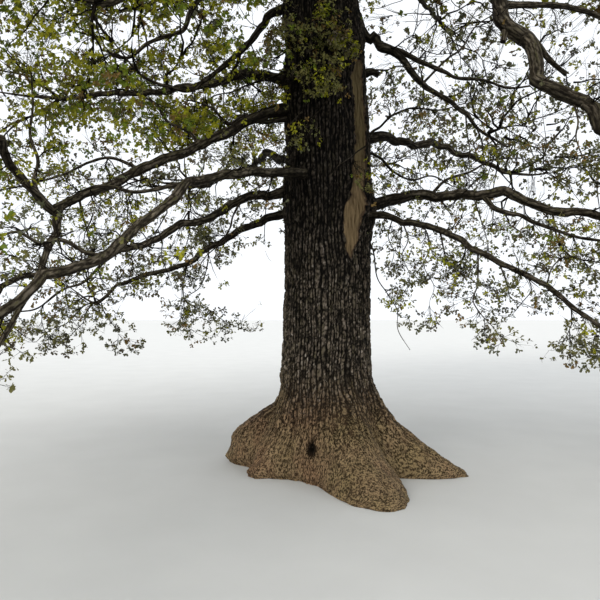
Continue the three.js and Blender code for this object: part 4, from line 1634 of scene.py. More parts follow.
class TubeSet:
    """Many thin closed tubes in one mesh: each twig's rings run out to a point."""

    def __init__(self) -> None:
        """Starts empty."""
        self.places: list[Array] = []
        self.faces: list[Array] = []
        self.count = 0

    def add(self, lines: Array, radii: Array, sides: int) -> None:
        """Adds many tubes at once.

        Args:
            lines: Points along each tube, (n, k, 3), the last one its point.
            radii: Radius at each, (n, k).
            sides: How many sides the tubes have.
        """
        if not len(lines):
            return
        across, beside = cross_frames(lines)
        turns = np.arange(sides) * 2 * math.pi / sides
        rings = lines.shape[1] - 1
        circle = (
            np.cos(turns)[None, None, :, None] * across[:, :rings, None]
            + np.sin(turns)[None, None, :, None] * beside[:, :rings, None]
        )
        body = lines[:, :rings, None] + circle * radii[:, :rings, None, None]
        places = np.concatenate([body.reshape(len(lines), -1, 3), lines[:, -1:]], axis=1)
        pattern = []
        for k in range(rings - 1):
            for s in range(sides):
                a, b = k * sides + s, k * sides + (s + 1) % sides
                pattern += [(a, a + sides, b), (b, a + sides, b + sides)]
        last = (rings - 1) * sides
        pattern += [(last + s, rings * sides, last + (s + 1) % sides) for s in range(sides)]
        pattern += [(0, s, s + 1) for s in range(1, sides - 1)]
        starts = self.count + np.arange(len(lines)) * places.shape[1]
        self.faces.append((starts[:, None, None] + np.array(pattern)[None]).reshape(-1, 3))
        self.places.append(places.reshape(-1, 3))
        self.count += places.shape[0] * places.shape[1]

    def build(self, name: str, material: Material) -> Piece:
        """Makes the mesh."""
        return mesh_piece(name, np.vstack(self.places), np.vstack(self.faces), material, True)


def mesh_piece(name: str, places: Array, faces: Array, material: Material, smooth: bool) -> Piece:
    """A piece from arrays.

    Args:
        name: The piece's name.
        places: Its vertices, (n, 3).
        faces: Its triangles, (m, 3).
        material: Its material.
        smooth: True for smooth shading.

    Returns:
        The piece.
    """
    mesh = bpy.data.meshes.new(name)
    mesh.vertices.add(len(places))
    mesh.vertices.foreach_set("co", places.astype(np.float32).ravel())
    mesh.loops.add(len(faces) * 3)
    mesh.loops.foreach_set("vertex_index", faces.astype(np.int32).ravel())
    mesh.polygons.add(len(faces))
    mesh.polygons.foreach_set("loop_start", np.arange(0, len(faces) * 3, 3, dtype=np.int32))
    mesh.polygons.foreach_set("use_smooth", np.full(len(faces), smooth))
    mesh.update(calc_edges=True)
    mesh.materials.append(material)
    piece = bpy.data.objects.new(name, mesh)
    bpy.context.scene.collection.objects.link(piece)
    return piece


class Outline(Enum):
    """The leaves' outlines: their corners, across and along the leaf, and the faces between them."""

    LOBED = (
        ((0.0, 0.0), (0.15, 0.30), (0.28, 0.46), (0.18, 0.58), (0.34, 0.78), (0.0, 1.0), (-0.34, 0.74),
         (-0.19, 0.56), (-0.29, 0.42), (-0.14, 0.28)),
        ((0, 1, 9), (1, 2, 8), (1, 8, 9), (2, 3, 7), (2, 7, 8), (3, 4, 6), (3, 6, 7), (4, 5, 6)),
    )
    PLAIN = (
        ((0.0, 0.0), (0.27, 0.38), (0.15, 0.56), (0.34, 0.78), (0.0, 1.0), (-0.33, 0.74), (-0.2, 0.5)),
        ((0, 1, 6), (1, 2, 6), (2, 5, 6), (2, 3, 5), (3, 4, 5)),
    )
    BLUNT = (
        ((0.0, 0.0), (0.31, 0.42), (0.17, 0.60), (0.30, 0.95), (-0.26, 0.90), (-0.30, 0.45)),
        ((0, 1, 5), (1, 2, 5), (2, 4, 5), (2, 3, 4)),
    )
    SMALL = (
        ((0.0, 0.0), (0.30, 0.42), (0.20, 0.96), (-0.24, 0.88), (-0.28, 0.36)),
        ((0, 1, 4), (1, 3, 4), (1, 2, 3)),
    )

    def __init__(self, corners: tuple, faces: tuple) -> None:
        """Keeps both as arrays."""
        self.corners = np.array(corners)
        self.faces = np.array(faces)


class LeafSet:
    """Opaque leaves of a few faces, gathered by tint and outline."""

    CUP = 0.25

    def __init__(self) -> None:
        """Starts empty."""
        self.rows: dict[tuple[Tint, Outline], list[tuple[Array, ...]]] = {}

    def add(self, tint: Tint, outline: Outline, *leaves: Array) -> None:
        """Adds leaves of one tint.

        Args:
            tint: Their tint.
            outline: Their outline.
            leaves: Where each leaf starts, where it points and about where its upper side looks (n, 3), how
                long it is and how far its tip bends down as a share of its length (n,).
        """
        self.rows.setdefault((tint, outline), []).append(leaves)

    def build(self) -> list[Piece]:
        """Makes the meshes, each under the most triangles.

        Returns:
            The pieces.
        """
        pieces = []
        finishes = {tint: tint.value.build() for tint in Tint}
        for (tint, outline), rows in self.rows.items():
            columns = [np.concatenate(column) for column in zip(*rows)]
            share = max(1, math.ceil(len(columns[0]) * len(outline.faces) / MOST_TRIANGLES))
            for k in range(share):
                places = self.places(outline.corners, *(column[k::share] for column in columns))
                starts = np.arange(0, len(places), len(outline.corners))
                triangles = (starts[:, None, None] + outline.faces[None]).reshape(-1, 3)
                name = f"leaves_{tint.name}_{outline.name}_{k + 1}".lower()
                pieces.append(mesh_piece(name, places, triangles, finishes[tint], False))
        return pieces

    @staticmethod
    def places(corners: Array, base: Array, way: Array, face: Array, length: Array, curl: Array) -> Array:
        """The vertices of leaves.

        Args:
            corners: The outline's corners, across and along the leaf.
            base: Where each starts, (n, 3).
            way: Where it points, (n, 3).
            face: About where its upper side looks, (n, 3).
            length: How long it is, (n,).
            curl: How far its tip bends down, (n,).

        Returns:
            Vertices, leaf by leaf.
        """
        way = unit(way)
        face = unit(face - way * np.sum(face * way, axis=1, keepdims=True))
        across = np.cross(way, face)
        x, y = corners[:, 0], corners[:, 1]
        lift = LeafSet.CUP * np.abs(x)[None] - curl[:, None] * (y**2)[None]
        local = (
            x[None, :, None] * across[:, None]
            + y[None, :, None] * way[:, None]
            + lift[:, :, None] * face[:, None]
        )
        return (base[:, None] + local * length[:, None, None]).reshape(-1, 3)


@dataclass(frozen=True)
class Habit:
    """How twigs and leaves come on one carrier.

    Attributes:
        branches: Branches off a mass's stem, or for each metre of a limb.
        sprays: Twigs round each branch's tip.
        shoots: Leafy shoots round each twig's tip.
        leaves: Leaves on each shoot.
        leaf: A leaf's length.
        tints: How often each tint is dealt to a spray.
        outline: The leaves' outline.
        spread: Half the width of the cloud of twigs round a branch's tip.
        tuft: Half the width of the cloud of shoots round a twig's tip.
        fine: A shoot's radius.
    """

    branches: float
    sprays: int
    shoots: int
    leaves: int
    leaf: float
    tints: dict[Tint, float]
    outline: Outline
    spread: float
    tuft: float
    fine: float


BRIGHT = {Tint.YELLOW_GREEN: 0.64, Tint.FRESH_GREEN: 0.2, Tint.OLIVE: 0.1, Tint.BRONZE: 0.06}
MUTED = {
    Tint.YELLOW_GREEN: 0.18,
    Tint.OLIVE: 0.3,
    Tint.GREY_GREEN: 0.32,
    Tint.UMBER: 0.12,
    Tint.BRONZE: 0.08,
}
# Painted shade: duller tints for the shoots on the trunk's face, which stand in the crown's shade.
SHADED = {
    Tint.YELLOW_GREEN: 0.22,
    Tint.FRESH_GREEN: 0.06,
    Tint.OLIVE: 0.48,
    Tint.BRONZE: 0.14,
    Tint.UMBER: 0.1,
}
MIXED = {
    Tint.YELLOW_GREEN: 0.34,
    Tint.FRESH_GREEN: 0.22,
    Tint.OLIVE: 0.24,
    Tint.GREY_GREEN: 0.14,
    Tint.BRONZE: 0.06,
}
BRIGHT_LIMBS = ("left_mid", "left_upper", "front_left_hang", "left_front_low", "left_back_low")
FAR_LIMBS = ("back_right_low", "back_low", "back_left_low", "left_back_low")


@dataclass(frozen=True)
class Window:
    """An oval of the reference frame where the crown is thinner or thicker.

    Attributes:
        middle: Its middle in pixels.
        size: Its half width and half height in pixels.
        keep: The share of shoots that stay.
    """

    middle: tuple[float, float]
    size: tuple[float, float]
    keep: float


SKY_WINDOWS = (
    Window((256, 283), (28, 40), 0.08),
    Window((398, 226), (16, 8), 0.15),
    Window((100, 225), (34, 16), 0.3),
    Window((80, 220), (120, 44), 0.4),
    Window((100, 275), (110, 34), 0.7),
    Window((404, 160), (22, 24), 0.55),
    Window((590, 60), (40, 40), 0.35),
    Window((410, 20), (60, 46), 0.25),
    Window((480, 34), (110, 62), 0.3),
    Window((220, 14), (36, 30), 0.5),
    Window((470, 90), (110, 50), 0.62),
    Window((480, 200), (70, 36), 0.4),
    Window((520, 280), (90, 50), 0.65),
)


@dataclass
class Carriers:
    """Places that a twig may grow from.

    Attributes:
        places: Points, (n, 3).
        ways: The carrier's direction at each, (n, 3).
        back: The way back to the carrier's foot from each, (n,).
        radii: The carrier's radius at each, (n,).
    """

    places: Array
    ways: Array
    back: Array
    radii: Array

    def nearest(self, tips: Array, detour: float, bend_cost: float, shortest: float) -> Array:
        """The place from which each tip is the shortest way from the foot.

        Args:
            tips: Points to reach, (m, 3).
            detour: What a length of the way back costs.
            bend_cost: What a turn costs.
            shortest: No twig is shorter.

        Returns:
            The index of a place for each tip, (m,).
        """
        way = tips[:, None] - self.places[None]
        straight = np.linalg.norm(way, axis=2)
        bend = 1 - np.sum(unit(way) * self.ways[None], axis=2)
        cost = straight * (1 + bend_cost * bend) + detour * self.back[None]
        return np.argmin(np.where(straight < shortest, np.inf, cost), axis=1)


class Crown:
    """Grows branches, twigs and leaves in every space and along the limbs."""

    TUBES = ("branches", "sprays", "twigs")
    SPACING = 0.34
    POINTS = 7
    FORKS = (2, 4, 6)
    INNERMOST = 0.22
    OUTERMOST = 0.70
    THROWS = 600
    DETOUR = 0.45
    BEND_COST = 0.3
    PIPE_POWER = 2.2
    PIPE_ROOT = 1.7
    PIPE_TIP = 1.6
    PIPE_TAPER = 0.8
    THINNER = 0.8
    SPILL = 0.15
    STEM_FOOT = 2
    SHORTEST_SHARE = 0.1
    HEART_BEYOND = 0.2
    SLEEVE_ROOT = 0.08
    SLEEVE_FEWEST = 6
    SLEEVE_SHORTEST = 0.08
    SLEEVE_DETOUR = 0.3
    SLEEVE_DROP = 0.12
    SLEEVE_HEARTS = (4, 6)
    BRANCH_SIDES = 5
    TWIG_SIDES = 3
    CLEAR_BRANCH = 0.02
    CLEAR_TIP = 0.1
    CLEAR_SPRAY = 0.05
    CLEAR_SHOOT = 0.03
    SPRAY_FLAT = 0.6
    TUFT_FLAT = 0.75
    SPRAY_SHORTEST = 0.03
    SMALL_LEAF = 0.05
    LARGE_LEAF = 0.08
    UNSEEN_LEAF = 1.4
    FRAME_MARGIN = 10
    LENS_SPACE = (-0.5, 1.7, 1.4, 3.6)
    LEAF_TURN = 2.4
    LEAF_DROOP = 0.18
    LEAF_BACK = 0.09

    def __init__(self, spaces: Spaces, walls: Walls, tracks: Tracks) -> None:
        """Keeps the spaces and the limbs.

        Args:
            spaces: The spaces to fill.
            walls: The limbs that twigs keep clear of.
            tracks: The limbs that stay in sight.
        """
        self.spaces = spaces
        self.walls = walls
        self.tracks = tracks
        self.tubes = {name: TubeSet() for name in self.TUBES}
        self.leaves = LeafSet()
        self.rng = np.random.default_rng(0)

    def fill(self, index: int, habit: Habit, seed: int) -> None:
        """Grows one mass on its stem.

        Args:
            index: The space that it fills.
            habit: How its twigs and leaves come.
            seed: Its stream of random numbers.
        """
        space = self.spaces.rows[index]
        self.rng = np.random.default_rng(seed)
        stem, along = Paths.even(Paths.smooth(space.stem()), self.POINTS)
        upper = slice(self.STEM_FOOT, None)
        ways = unit(np.gradient(stem, axis=0))[upper]
        foot = Carriers(stem[upper], ways, along[upper], np.full(len(ways), space.girth))
        tips = self.thrown(index, int(habit.branches))
        tips = np.array(sorted(tips, key=lambda tip: float(np.linalg.norm(tip - space.base))))
        lines, carriers = self.branch(foot, tips, self.SHORTEST_SHARE * space.reach, self.DETOUR, habit)
        if lines:
            ends = np.array([line[-1] for line in lines])
            hearts = ends + self.HEART_BEYOND * space.reach * unit(ends - space.middle)
            self.dress(index, hearts, carriers, habit)

    def sleeve(self, limb: LimbLine, reach: float, habit: Habit, seed: int) -> None:
        """Grows side branches along a limb.

        Args:
            limb: The limb's points, distances and radii.
            reach: How far the side branches reach from it.
            habit: How they come.
            seed: Their stream of random numbers.
        """
        line, along, radii = limb
        self.rng = rng = np.random.default_rng(seed)
        out = np.linalg.norm((line - TRUNK.axis(line[:, 2]))[:, :2], axis=1) - TRUNK.radius(line[:, 2])
        free = np.nonzero(out > self.SLEEVE_ROOT)[0]
        if len(free) < self.SLEEVE_FEWEST:
            return
        count = max(2, int(habit.branches * (along[free[-1]] - along[free[0]])))
        stations = (np.arange(count) + rng.random(count)) / count
        spots = free[np.minimum((stations * len(free)).astype(int), len(free) - 1)]
        ways = unit(np.gradient(line, axis=0))
        side = unit(np.cross(ways[spots], unit(rng.normal(size=(count, 3)) + 0.3 * UP)))
        length = reach * rng.uniform(0.3, 1.0, count) ** 0.7
        tips = line[spots] + side * length[:, None]
        tips = tips + ways[spots] * length[:, None] * rng.uniform(0.1, 0.8, (count, 1))
        tips[:, 2] -= self.SLEEVE_DROP * length
        tips = tips[self.within(tips) & self.walls.clear(tips, self.CLEAR_SPRAY)]
        foot = Carriers(line[free], ways[free], along[free] * 0.0, radii[free])
        lines, carriers = self.branch(foot, tips, self.SLEEVE_SHORTEST, self.SLEEVE_DETOUR, habit)
        if lines:
            hearts = np.array([line[k] for line in lines for k in self.SLEEVE_HEARTS])
            self.dress(-1, hearts, carriers, habit)

    def within(self, points: Array) -> Array:
        """Which points keep above the lowest twigs and inside the whole tree's box, with a little spill."""
        low, high = np.array(CAD_BOX) + np.array([[-self.SPILL], [self.SPILL]])
        return (points > low).all(axis=1) & (points < high).all(axis=1) & (points[:, 2] > self.spaces.floor)

    def thrown(self, index: int, count: int) -> list[Array]:
        """Branch tips thrown evenly into a space.

        Args:
            index: The space.
            count: How many are wanted.

        Returns:
            Points.
        """
        space = self.spaces.rows[index]
        depth = np.sqrt(self.rng.random(self.THROWS))
        out = space.reach * (self.INNERMOST + (self.OUTERMOST - self.INNERMOST) * depth)
        thrown = space.middle + unit(self.rng.normal(size=(self.THROWS, 3))) * out[:, None]
        clear = self.walls.clear(thrown, self.CLEAR_TIP)
        kept: list[Array] = []
        for tip in thrown[self.spaces.owns(index, thrown) & clear & self.within(thrown)]:
            if all(np.linalg.norm(tip - other) > self.SPACING * space.reach for other in kept):
                kept.append(tip)
            if len(kept) == count:
                break
        return kept

    def branch(
        self, foot: Carriers, tips: Array, shortest: float, detour: float, habit: Habit
    ) -> tuple[list[Array], Carriers]:
        """Grows branches to their tips, from a foot and from each other.

        Args:
            foot: Where the first may grow from.
            tips: The tips, in the order in which they are reached.
            shortest: No branch is shorter.
            detour: What the way back costs.
            habit: How twigs come on them.

        Returns:
            The branches' points, and the places that twigs may grow from.
        """
        spots = foot
        lines, links = [], []
        for tip in tips:
            best = int(spots.nearest(tip[None], detour, self.BEND_COST, shortest)[0])
            root = spots.places[best]
            length = float(np.linalg.norm(tip - root))
            if length < shortest:
                continue
            pull = root + 0.38 * length * unit(spots.ways[best] + 0.6 * unit(tip - root))
            line = bezier(root[None], pull[None], tip[None], self.POINTS)[0]
            line[1:-1] += self.rng.normal(0, 0.02, (self.POINTS - 2, 3)) * length
            if not self.walls.clear(line[2:], self.CLEAR_BRANCH).all():
                continue
            lines.append(line)
            links.append(best)
            forks = list(self.FORKS)
            back = spots.back[best] + length * np.array(forks) / (self.POINTS - 1)
            spots = Carriers(
                np.vstack([spots.places, line[forks]]),
                np.vstack([spots.ways, unit(np.gradient(line, axis=0))[forks]]),
                np.concatenate([spots.back, back]),
                np.concatenate([spots.radii, np.zeros(len(forks))]),
            )
        if not lines:
            return lines, spots
        radii = self.pipes(foot, links, habit)
        self.tubes["branches"].add(np.array(lines), radii, self.BRANCH_SIDES)
        points = np.array(lines)[:, 1:].reshape(-1, 3)
        ways = unit(np.diff(np.array(lines), axis=1)).reshape(-1, 3)
        back = spots.back[links][:, None] + 0.1 * np.arange(1, self.POINTS)[None]
        return lines, Carriers(points, ways, back.ravel(), radii[:, 1:].ravel())

    def pipes(self, foot: Carriers, links: list[int], habit: Habit) -> Array:
        """Radii by the pipe rule: what a branch carries makes it thick, and it stays thinner than its foot.

        Args:
            foot: Where the first branches grow from.
            links: The place that each branch grows from.
            habit: How twigs come on them.

        Returns:
            A radius at each point of each branch, (n, POINTS).
        """
        loads = np.ones(len(links))
        root = np.empty(len(links))
        stems = len(foot.places)
        for k in range(len(links) - 1, -1, -1):
            if links[k] >= stems:
                loads[(links[k] - stems) // len(self.FORKS)] += loads[k]
        for k, link in enumerate(links):
            own = self.PIPE_ROOT * habit.fine * (1 + habit.sprays * loads[k]) ** (1 / self.PIPE_POWER)
            over = foot.radii[link] if link < stems else root[(link - stems) // len(self.FORKS)]
            root[k] = min(own, self.THINNER * over)
        tip = self.PIPE_TIP * habit.fine
        taper = np.linspace(0, 1, self.POINTS) ** self.PIPE_TAPER
        return root[:, None] + (np.minimum(tip, root)[:, None] - root[:, None]) * taper[None]

    def dress(self, index: int, hearts: Array, carriers: Carriers, habit: Habit) -> None:
        """Grows twigs round points, and leafy shoots round the twigs' tips.

        Args:
            index: The space, or -1 for none.
            hearts: The middle of each cloud of twigs, (n, 3).
            carriers: The places that twigs may grow from.
            habit: How they come.
        """
        tips = self.cloud(hearts, habit.sprays, habit.spread, self.SPRAY_FLAT).reshape(-1, 3)
        tips = tips[self.stays(index, tips, self.CLEAR_SPRAY, False)]
        if not len(tips):
            return
        best = carriers.nearest(tips, self.DETOUR, self.BEND_COST, self.SPRAY_SHORTEST)
        starts, ways = carriers.places[best], carriers.ways[best]
        length = np.linalg.norm(tips - starts, axis=1)
        pull = starts + unit(ways + 0.8 * unit(tips - starts)) * 0.4 * length[:, None]
        joints = 4 if habit.leaf < self.SMALL_LEAF else 3
        lines = bezier(starts, pull, tips, joints)
        lines[:, 1:-1] += self.rng.normal(0, 0.03, (len(lines), joints - 2, 3)) * length[:, None, None]
        thick = np.minimum(0.6 * carriers.radii[best], 3.2 * habit.fine)
        radii = thick[:, None] + (habit.fine - thick[:, None]) * np.linspace(0, 1, joints)[None] ** 0.7
        self.tubes["sprays"].add(lines, radii, self.TWIG_SIDES)
        self.tuft(index, lines, habit)

    def tuft(self, index: int, lines: Array, habit: Habit) -> None:
        """Grows leafy shoots round twigs' tips, with larger leaves where the reference view shows none.

        Args:
            index: The space, or -1 for none.
            lines: Points along each twig, (n, joints, 3).
            habit: How the shoots come.
        """
        number, joints = lines.shape[:2]
        count = habit.shoots
        ends = self.cloud(lines[:, -1], count, habit.tuft, self.TUFT_FLAT).reshape(-1, 3)
        place = self.rng.uniform(0.35, 1.0, (number, count)) * (joints - 1)
        low = np.minimum(place.astype(int), joints - 2)
        rows = np.arange(number)[:, None]
        step = lines[rows, low + 1] - lines[rows, low]
        roots = (lines[rows, low] + step * (place - low)[..., None]).reshape(-1, 3)
        chances = np.array(list(habit.tints.values()))
        tints = np.repeat(self.rng.choice(len(chances), size=number, p=chances), count)
        keep = self.stays(index, ends, self.CLEAR_SHOOT, True)
        framed = VIEW.framed(*VIEW.pixels(ends), self.FRAME_MARGIN)
        fine, full = habit, replace(habit, leaf=self.UNSEEN_LEAF * habit.leaf)
        if habit.leaf > self.LARGE_LEAF:
            fine = replace(habit, leaf=0.66 * habit.leaf, leaves=2 * habit.leaves, fine=0.7 * habit.fine)
            full = replace(habit, leaf=1.24 * habit.leaf)
        for some, kind in ((keep & ~framed, full), (keep & framed, fine)):
            self.shoot(roots[some], ends[some], tints[some], kind)

    def cloud(self, hearts: Array, count: int, size: float, flat: float) -> Array:
        """Points in flat clouds.

        Args:
            hearts: The clouds' middles, (n, 3).
            count: Points in each.
            size: Half a cloud's width.
            flat: Its height as a share of its width.

        Returns:
            Points, (n, count, 3).
        """
        ball = unit(self.rng.normal(size=(len(hearts), count, 3)))
        ball = ball * self.rng.random((len(hearts), count, 1)) ** 0.42
        return hearts[:, None] + ball * size * np.array([1.0, 1.0, flat])

    def stays(self, index: int, points: Array, margin: float, windows: bool) -> Array:
        """Which points may carry leaves: in their own space, clear of limbs and not in a window of sky.

        Args:
            index: The space, or -1 for none.
            points: Points, (n, 3).
            margin: How far they keep from the limbs.
            windows: True where the windows count.

        Returns:
            True where a point stays, (n,).
        """
        keep = self.walls.clear(points, margin) & self.within(points)
        if index >= 0:
            keep &= self.spaces.owns(index, points)
        pixels, depth = VIEW.pixels(points)
        if windows:
            luck = self.rng.random(len(points))
            for window in SKY_WINDOWS:
                off = (pixels - np.array(window.middle)) / np.array(window.size)
                keep &= (np.sum(off**2, axis=1) > 1) | (depth < 0.5) | (luck < window.keep)
            keep &= self.tracks.free(pixels, depth, self.rng.random(len(points)))
        behind, ahead, aside, above = self.LENS_SPACE
        near = (depth > behind) & (depth < ahead) & (np.abs(points[:, 0] - VIEW.place[0]) < aside)
        return keep & ~(near & (points[:, 2] < above))

    def shoot(self, roots: Array, ends: Array, tints: Array, habit: Habit) -> None:
        """Draws leafy shoots: a thin twig each, with a rosette of leaves at its tip.

        Args:
            roots: Where each shoot leaves its twig.
            ends: The shoots' tips.
            tints: Which of the habit's tints each is dealt.
            habit: How many leaves there are, and how long.
        """
        if not len(ends):
            return
        rng, count = self.rng, habit.leaves
        thick = np.tile(np.array([0.8 * habit.fine, 0]), (len(ends), 1))
        self.tubes["twigs"].add(np.stack([roots, ends], axis=1), thick, self.TWIG_SIDES)
        tip_way = unit(ends - roots)
        side = unit(np.cross(tip_way, unit(rng.normal(size=tip_way.shape))))
        other = np.cross(tip_way, side)
        turn = self.LEAF_TURN * np.arange(count)[None] + rng.uniform(0, 6.3, (len(ends), 1))
        turn = turn + rng.normal(0, 0.25, turn.shape)
        spread = rng.uniform(0.75, 1.4, turn.shape)
        round_way = np.cos(turn)[..., None] * side[:, None] + np.sin(turn)[..., None] * other[:, None]
        way = np.cos(spread)[..., None] * tip_way[:, None] + np.sin(spread)[..., None] * round_way
        way[..., 2] -= self.LEAF_DROOP
        size = habit.leaf * rng.uniform(0.6, 1.25, turn.shape)
        length = np.linalg.norm(ends - roots, axis=1)
        back = rng.uniform(0.0, 0.5, turn.shape) * np.minimum(self.LEAF_BACK, length)[:, None]
        base = ends[:, None] - tip_way[:, None] * back[..., None]
        face = tip_way[:, None] * 0.7 + UP * 0.8 + rng.normal(0, 0.5, way.shape)
        curl = rng.uniform(-0.05, 0.35, turn.shape)
        for k, tint in enumerate(habit.tints):
            mine = np.repeat(tints == k, count).reshape(len(ends), count)
            if mine.any():
                columns = (column[mine] for column in (base, way, face, size, curl))
                self.leaves.add(tint, habit.outline, *columns)


@dataclass(frozen=True)
class Studio:
    """The floor, the light and the pale surroundings.

    Attributes:
        floor_size: How far the floor reaches.
        floor_tone: The floor's grey.
        sky: The colour of the surroundings.
        sky_strength: How bright they are.
    """

    floor_size: float = 900.0
    floor_tone: Colour = (0.62, 0.62, 0.60)
    sky: Colour = (0.93, 0.96, 1.0)
    sky_strength: float = 1.15

    def build(self) -> None:
        """Builds the floor, the light and the surroundings."""
        bpy.ops.object.select_all(action="DESELECT")
        bpy.ops.mesh.primitive_plane_add(size=self.floor_size, location=(0, 0, -0.002))
        floor = bpy.context.object
        floor.name = "floor"
        floor.data.materials.append(self.floor_finish())
        world = bpy.data.worlds.new("surroundings")
        world.use_nodes = True
        bench = Bench(world.node_tree)
        links = {"Color": (*self.sky, 1.0), "Strength": self.sky_strength}
        background = bench.put("ShaderNodeBackground", links)
        bench.put("ShaderNodeOutputWorld", {"Surface": background.outputs[0]})
        bpy.context.scene.world = world
        self.lamp("key", (-11, -16, 15), 38, 2.06, (1.0, 0.97, 0.92))
        self.lamp("fill", (14, -10, 7), 38, 0.96, (0.94, 0.97, 1.0))

    def floor_finish(self) -> Material:
        """The floor's pale, faintly mottled finish.

        Returns:
            The material.
        """
        material, bench = Bench.material("floor")
        where = bench.put("ShaderNodeTexCoord").outputs["Object"]
        darker = tuple(0.95 * c for c in self.floor_tone)
        colour = bench.ramp(bench.noise(where, 1.3, 4.0), (0.3, darker), (0.7, self.floor_tone))
        bench.surface({"Base Color": colour, "Roughness": 0.9})
        return material

    @staticmethod
    def lamp(name: str, place: Place, width: float, power: float, colour: Colour) -> None:
        """Adds a wide soft light that shines on the middle of the trunk from far away.

        Args:
            name: Its name.
            place: The place from whose side it shines.
            width: How wide it looks, in degrees.
            power: Its power in watts for each square metre.
            colour: Its colour.
        """
        data = bpy.data.lights.new(name, "SUN")
        data.angle = math.radians(width)
        data.energy = power
        data.color = colour
        lamp = bpy.data.objects.new(name, data)
        lamp.location = place
        lamp.rotation_euler = (Vector((0, 0, 3)) - Vector(place)).to_track_quat("-Z", "Y").to_euler()
        bpy.context.scene.collection.objects.link(lamp)


@dataclass
class Oak:
    """The whole tree.

    Attributes:
        lines: Each bough's points, distances and radii under its name.
        sides: The same of each lesser limb.
        spaces: The spaces of the foliage masses.
    """

    lines: dict[str, LimbLine] = field(default_factory=dict)
    sides: list[LimbLine] = field(default_factory=list)
    spaces: list[Space] = field(default_factory=list)

    STEP_LOW = 0.03
    STEP_HIGH = 0.055
    FACE_LOW = 0.015
    FACE_HIGH = 0.03
    FACE_SIDE = 0.012
    STEM_THINNING = 0.775
    CROOK = 0.6
    CROOK_TRACED = 0.25
    REACH_LOW = 0.72
    REACH_DROOP = 0.5
    REACH_SIDE = 0.34
    REACH_HIGH = 1.25
    SHORTEST_SIDE = 0.35
    BRANCHES_LOW = 7.5
    BRANCHES_SIDE = 8.0
    TRUNK_JOINTS = 13
    LIMB_JOINTS = 9
    LIMB_SEED = 11
    SIDE_SEED = 50
    MASS_SEED = 101
    LOW_SLEEVE_SEED = 301
    SIDE_SLEEVE_SEED = 401
    HIGH_SLEEVE_SEED = 501
    LIMB_BARK = BarkFinish(
        name="limb_bark",
        furrow=(0.020, 0.016, 0.011),
        side=(0.082, 0.068, 0.049),
        plate=(0.147, 0.123, 0.093),
        fleck=(0.180, 0.154, 0.120),
        grain_size=70,
        moss_amount=0.5,
        shade=(0.9, 3.4, 1.0),
        # Painted shade: limb bark darkens next to the trunk and on its undersides.
        inner=0.44,
        under=0.4,
    )
    HIGH_SLEEVE = Habit(3.6, 3, 4, 5, 0.11, MIXED, Outline.BLUNT, 0.42, 0.22, 0.003)

    def limb_line(self, row: Limb, seed: int) -> Space:
        """Works out a bough's line, its stem's included, and its mass's space.

        Args:
            row: The bough.
            seed: Which crooks it gets.

        Returns:
            The space.
        """
        low = row in LOW_LIMBS
        route = row.route()
        space = Space.ahead_of(row, route, low)
        whole = Paths.smooth(np.vstack([route, space.stem()[1:]]))
        total = Paths.length(whole)
        line, along = Paths.even(whole, int(total / (self.STEP_LOW if low else self.STEP_HIGH)) + 1)
        u = along / row.length
        radii = row.radius(u) * DRESSED_GIRTH.get(row.name, LOW_GIRTH if low else 1.0)
        beyond = np.clip((along - row.length) / (total - row.length), 0, 1)
        radii = radii * (1 - beyond * self.STEM_THINNING)
        trace = TRACES.get(row.name)
        if trace:
            line = Paths.traced(line, along, np.array(trace, dtype=float))
        amount = (self.CROOK_TRACED if trace else self.CROOK) * radii * smoothstep(0.0, 0.25, 1.35 - u)
        line = Paths.crooked(line, along, amount, seed)
        self.lines[row.name] = (line, along, radii)
        return space

    def build(self) -> None:
        """Builds every piece of the tree."""
        rows = LOW_LIMBS + HIGH_LIMBS
        self.spaces = [self.limb_line(row, self.LIMB_SEED + k) for k, row in enumerate(rows)]
        self.spaces.append(self.shoot_space())
        self.sides = [limb.line(self.lines.get(limb.parent)) for limb in SIDE_LIMBS]
        Trunk([self.root_of(row) for row in rows if not row.leads]).build(BarkFinish("trunk_bark").build())
        limb_bark = self.LIMB_BARK.build()
        for k, row in enumerate(rows):
            face = self.FACE_LOW if row in LOW_LIMBS else self.FACE_HIGH
            limb = BarkedLimb(f"limb_{row.name}", *self.lines[row.name], k, face)
            finish_piece(limb.build(limb_bark), [f"bough_{row.name}"])
        self.side_limbs(limb_bark)
        crown = self.crown()
        nodes = [f"foliage_{space.name}" for space in self.spaces]
        for name, tubes in crown.tubes.items():
            finish_piece(tubes.build(name, limb_bark), nodes)
        for piece in crown.leaves.build():
            finish_piece(piece, nodes)

    def crown(self) -> Crown:
        """Grows everything that the boughs carry.

        Returns:
            The grown crown.
        """
        tracks = Tracks.of([self.lines[row.name] for row in LOW_LIMBS] + self.sides)
        crown = Crown(Spaces(self.spaces), self.walls(), tracks)
        for k, space in enumerate(self.spaces):
            crown.fill(k, self.habit_of(space), self.MASS_SEED + k)
        for k, row in enumerate(LOW_LIMBS):
            line, along, radii = self.lines[row.name]
            own = along < row.length
            reach = self.REACH_DROOP if "droop" in row.name else self.REACH_LOW
            habit = self.sleeve_habit(row.name, self.BRANCHES_LOW)
            crown.sleeve((line[own], along[own], radii[own]), reach, habit, self.LOW_SLEEVE_SEED + k)
        for k, (limb, side) in enumerate(zip(SIDE_LIMBS, self.sides)):
            if side[1][-1] > self.SHORTEST_SIDE:
                crown.sleeve(side, self.REACH_SIDE, self.side_habit(limb), self.SIDE_SLEEVE_SEED + k)
        for k, row in enumerate(HIGH_LIMBS):
            crown.sleeve(self.lines[row.name], self.REACH_HIGH, self.HIGH_SLEEVE, self.HIGH_SLEEVE_SEED + k)
        return crown

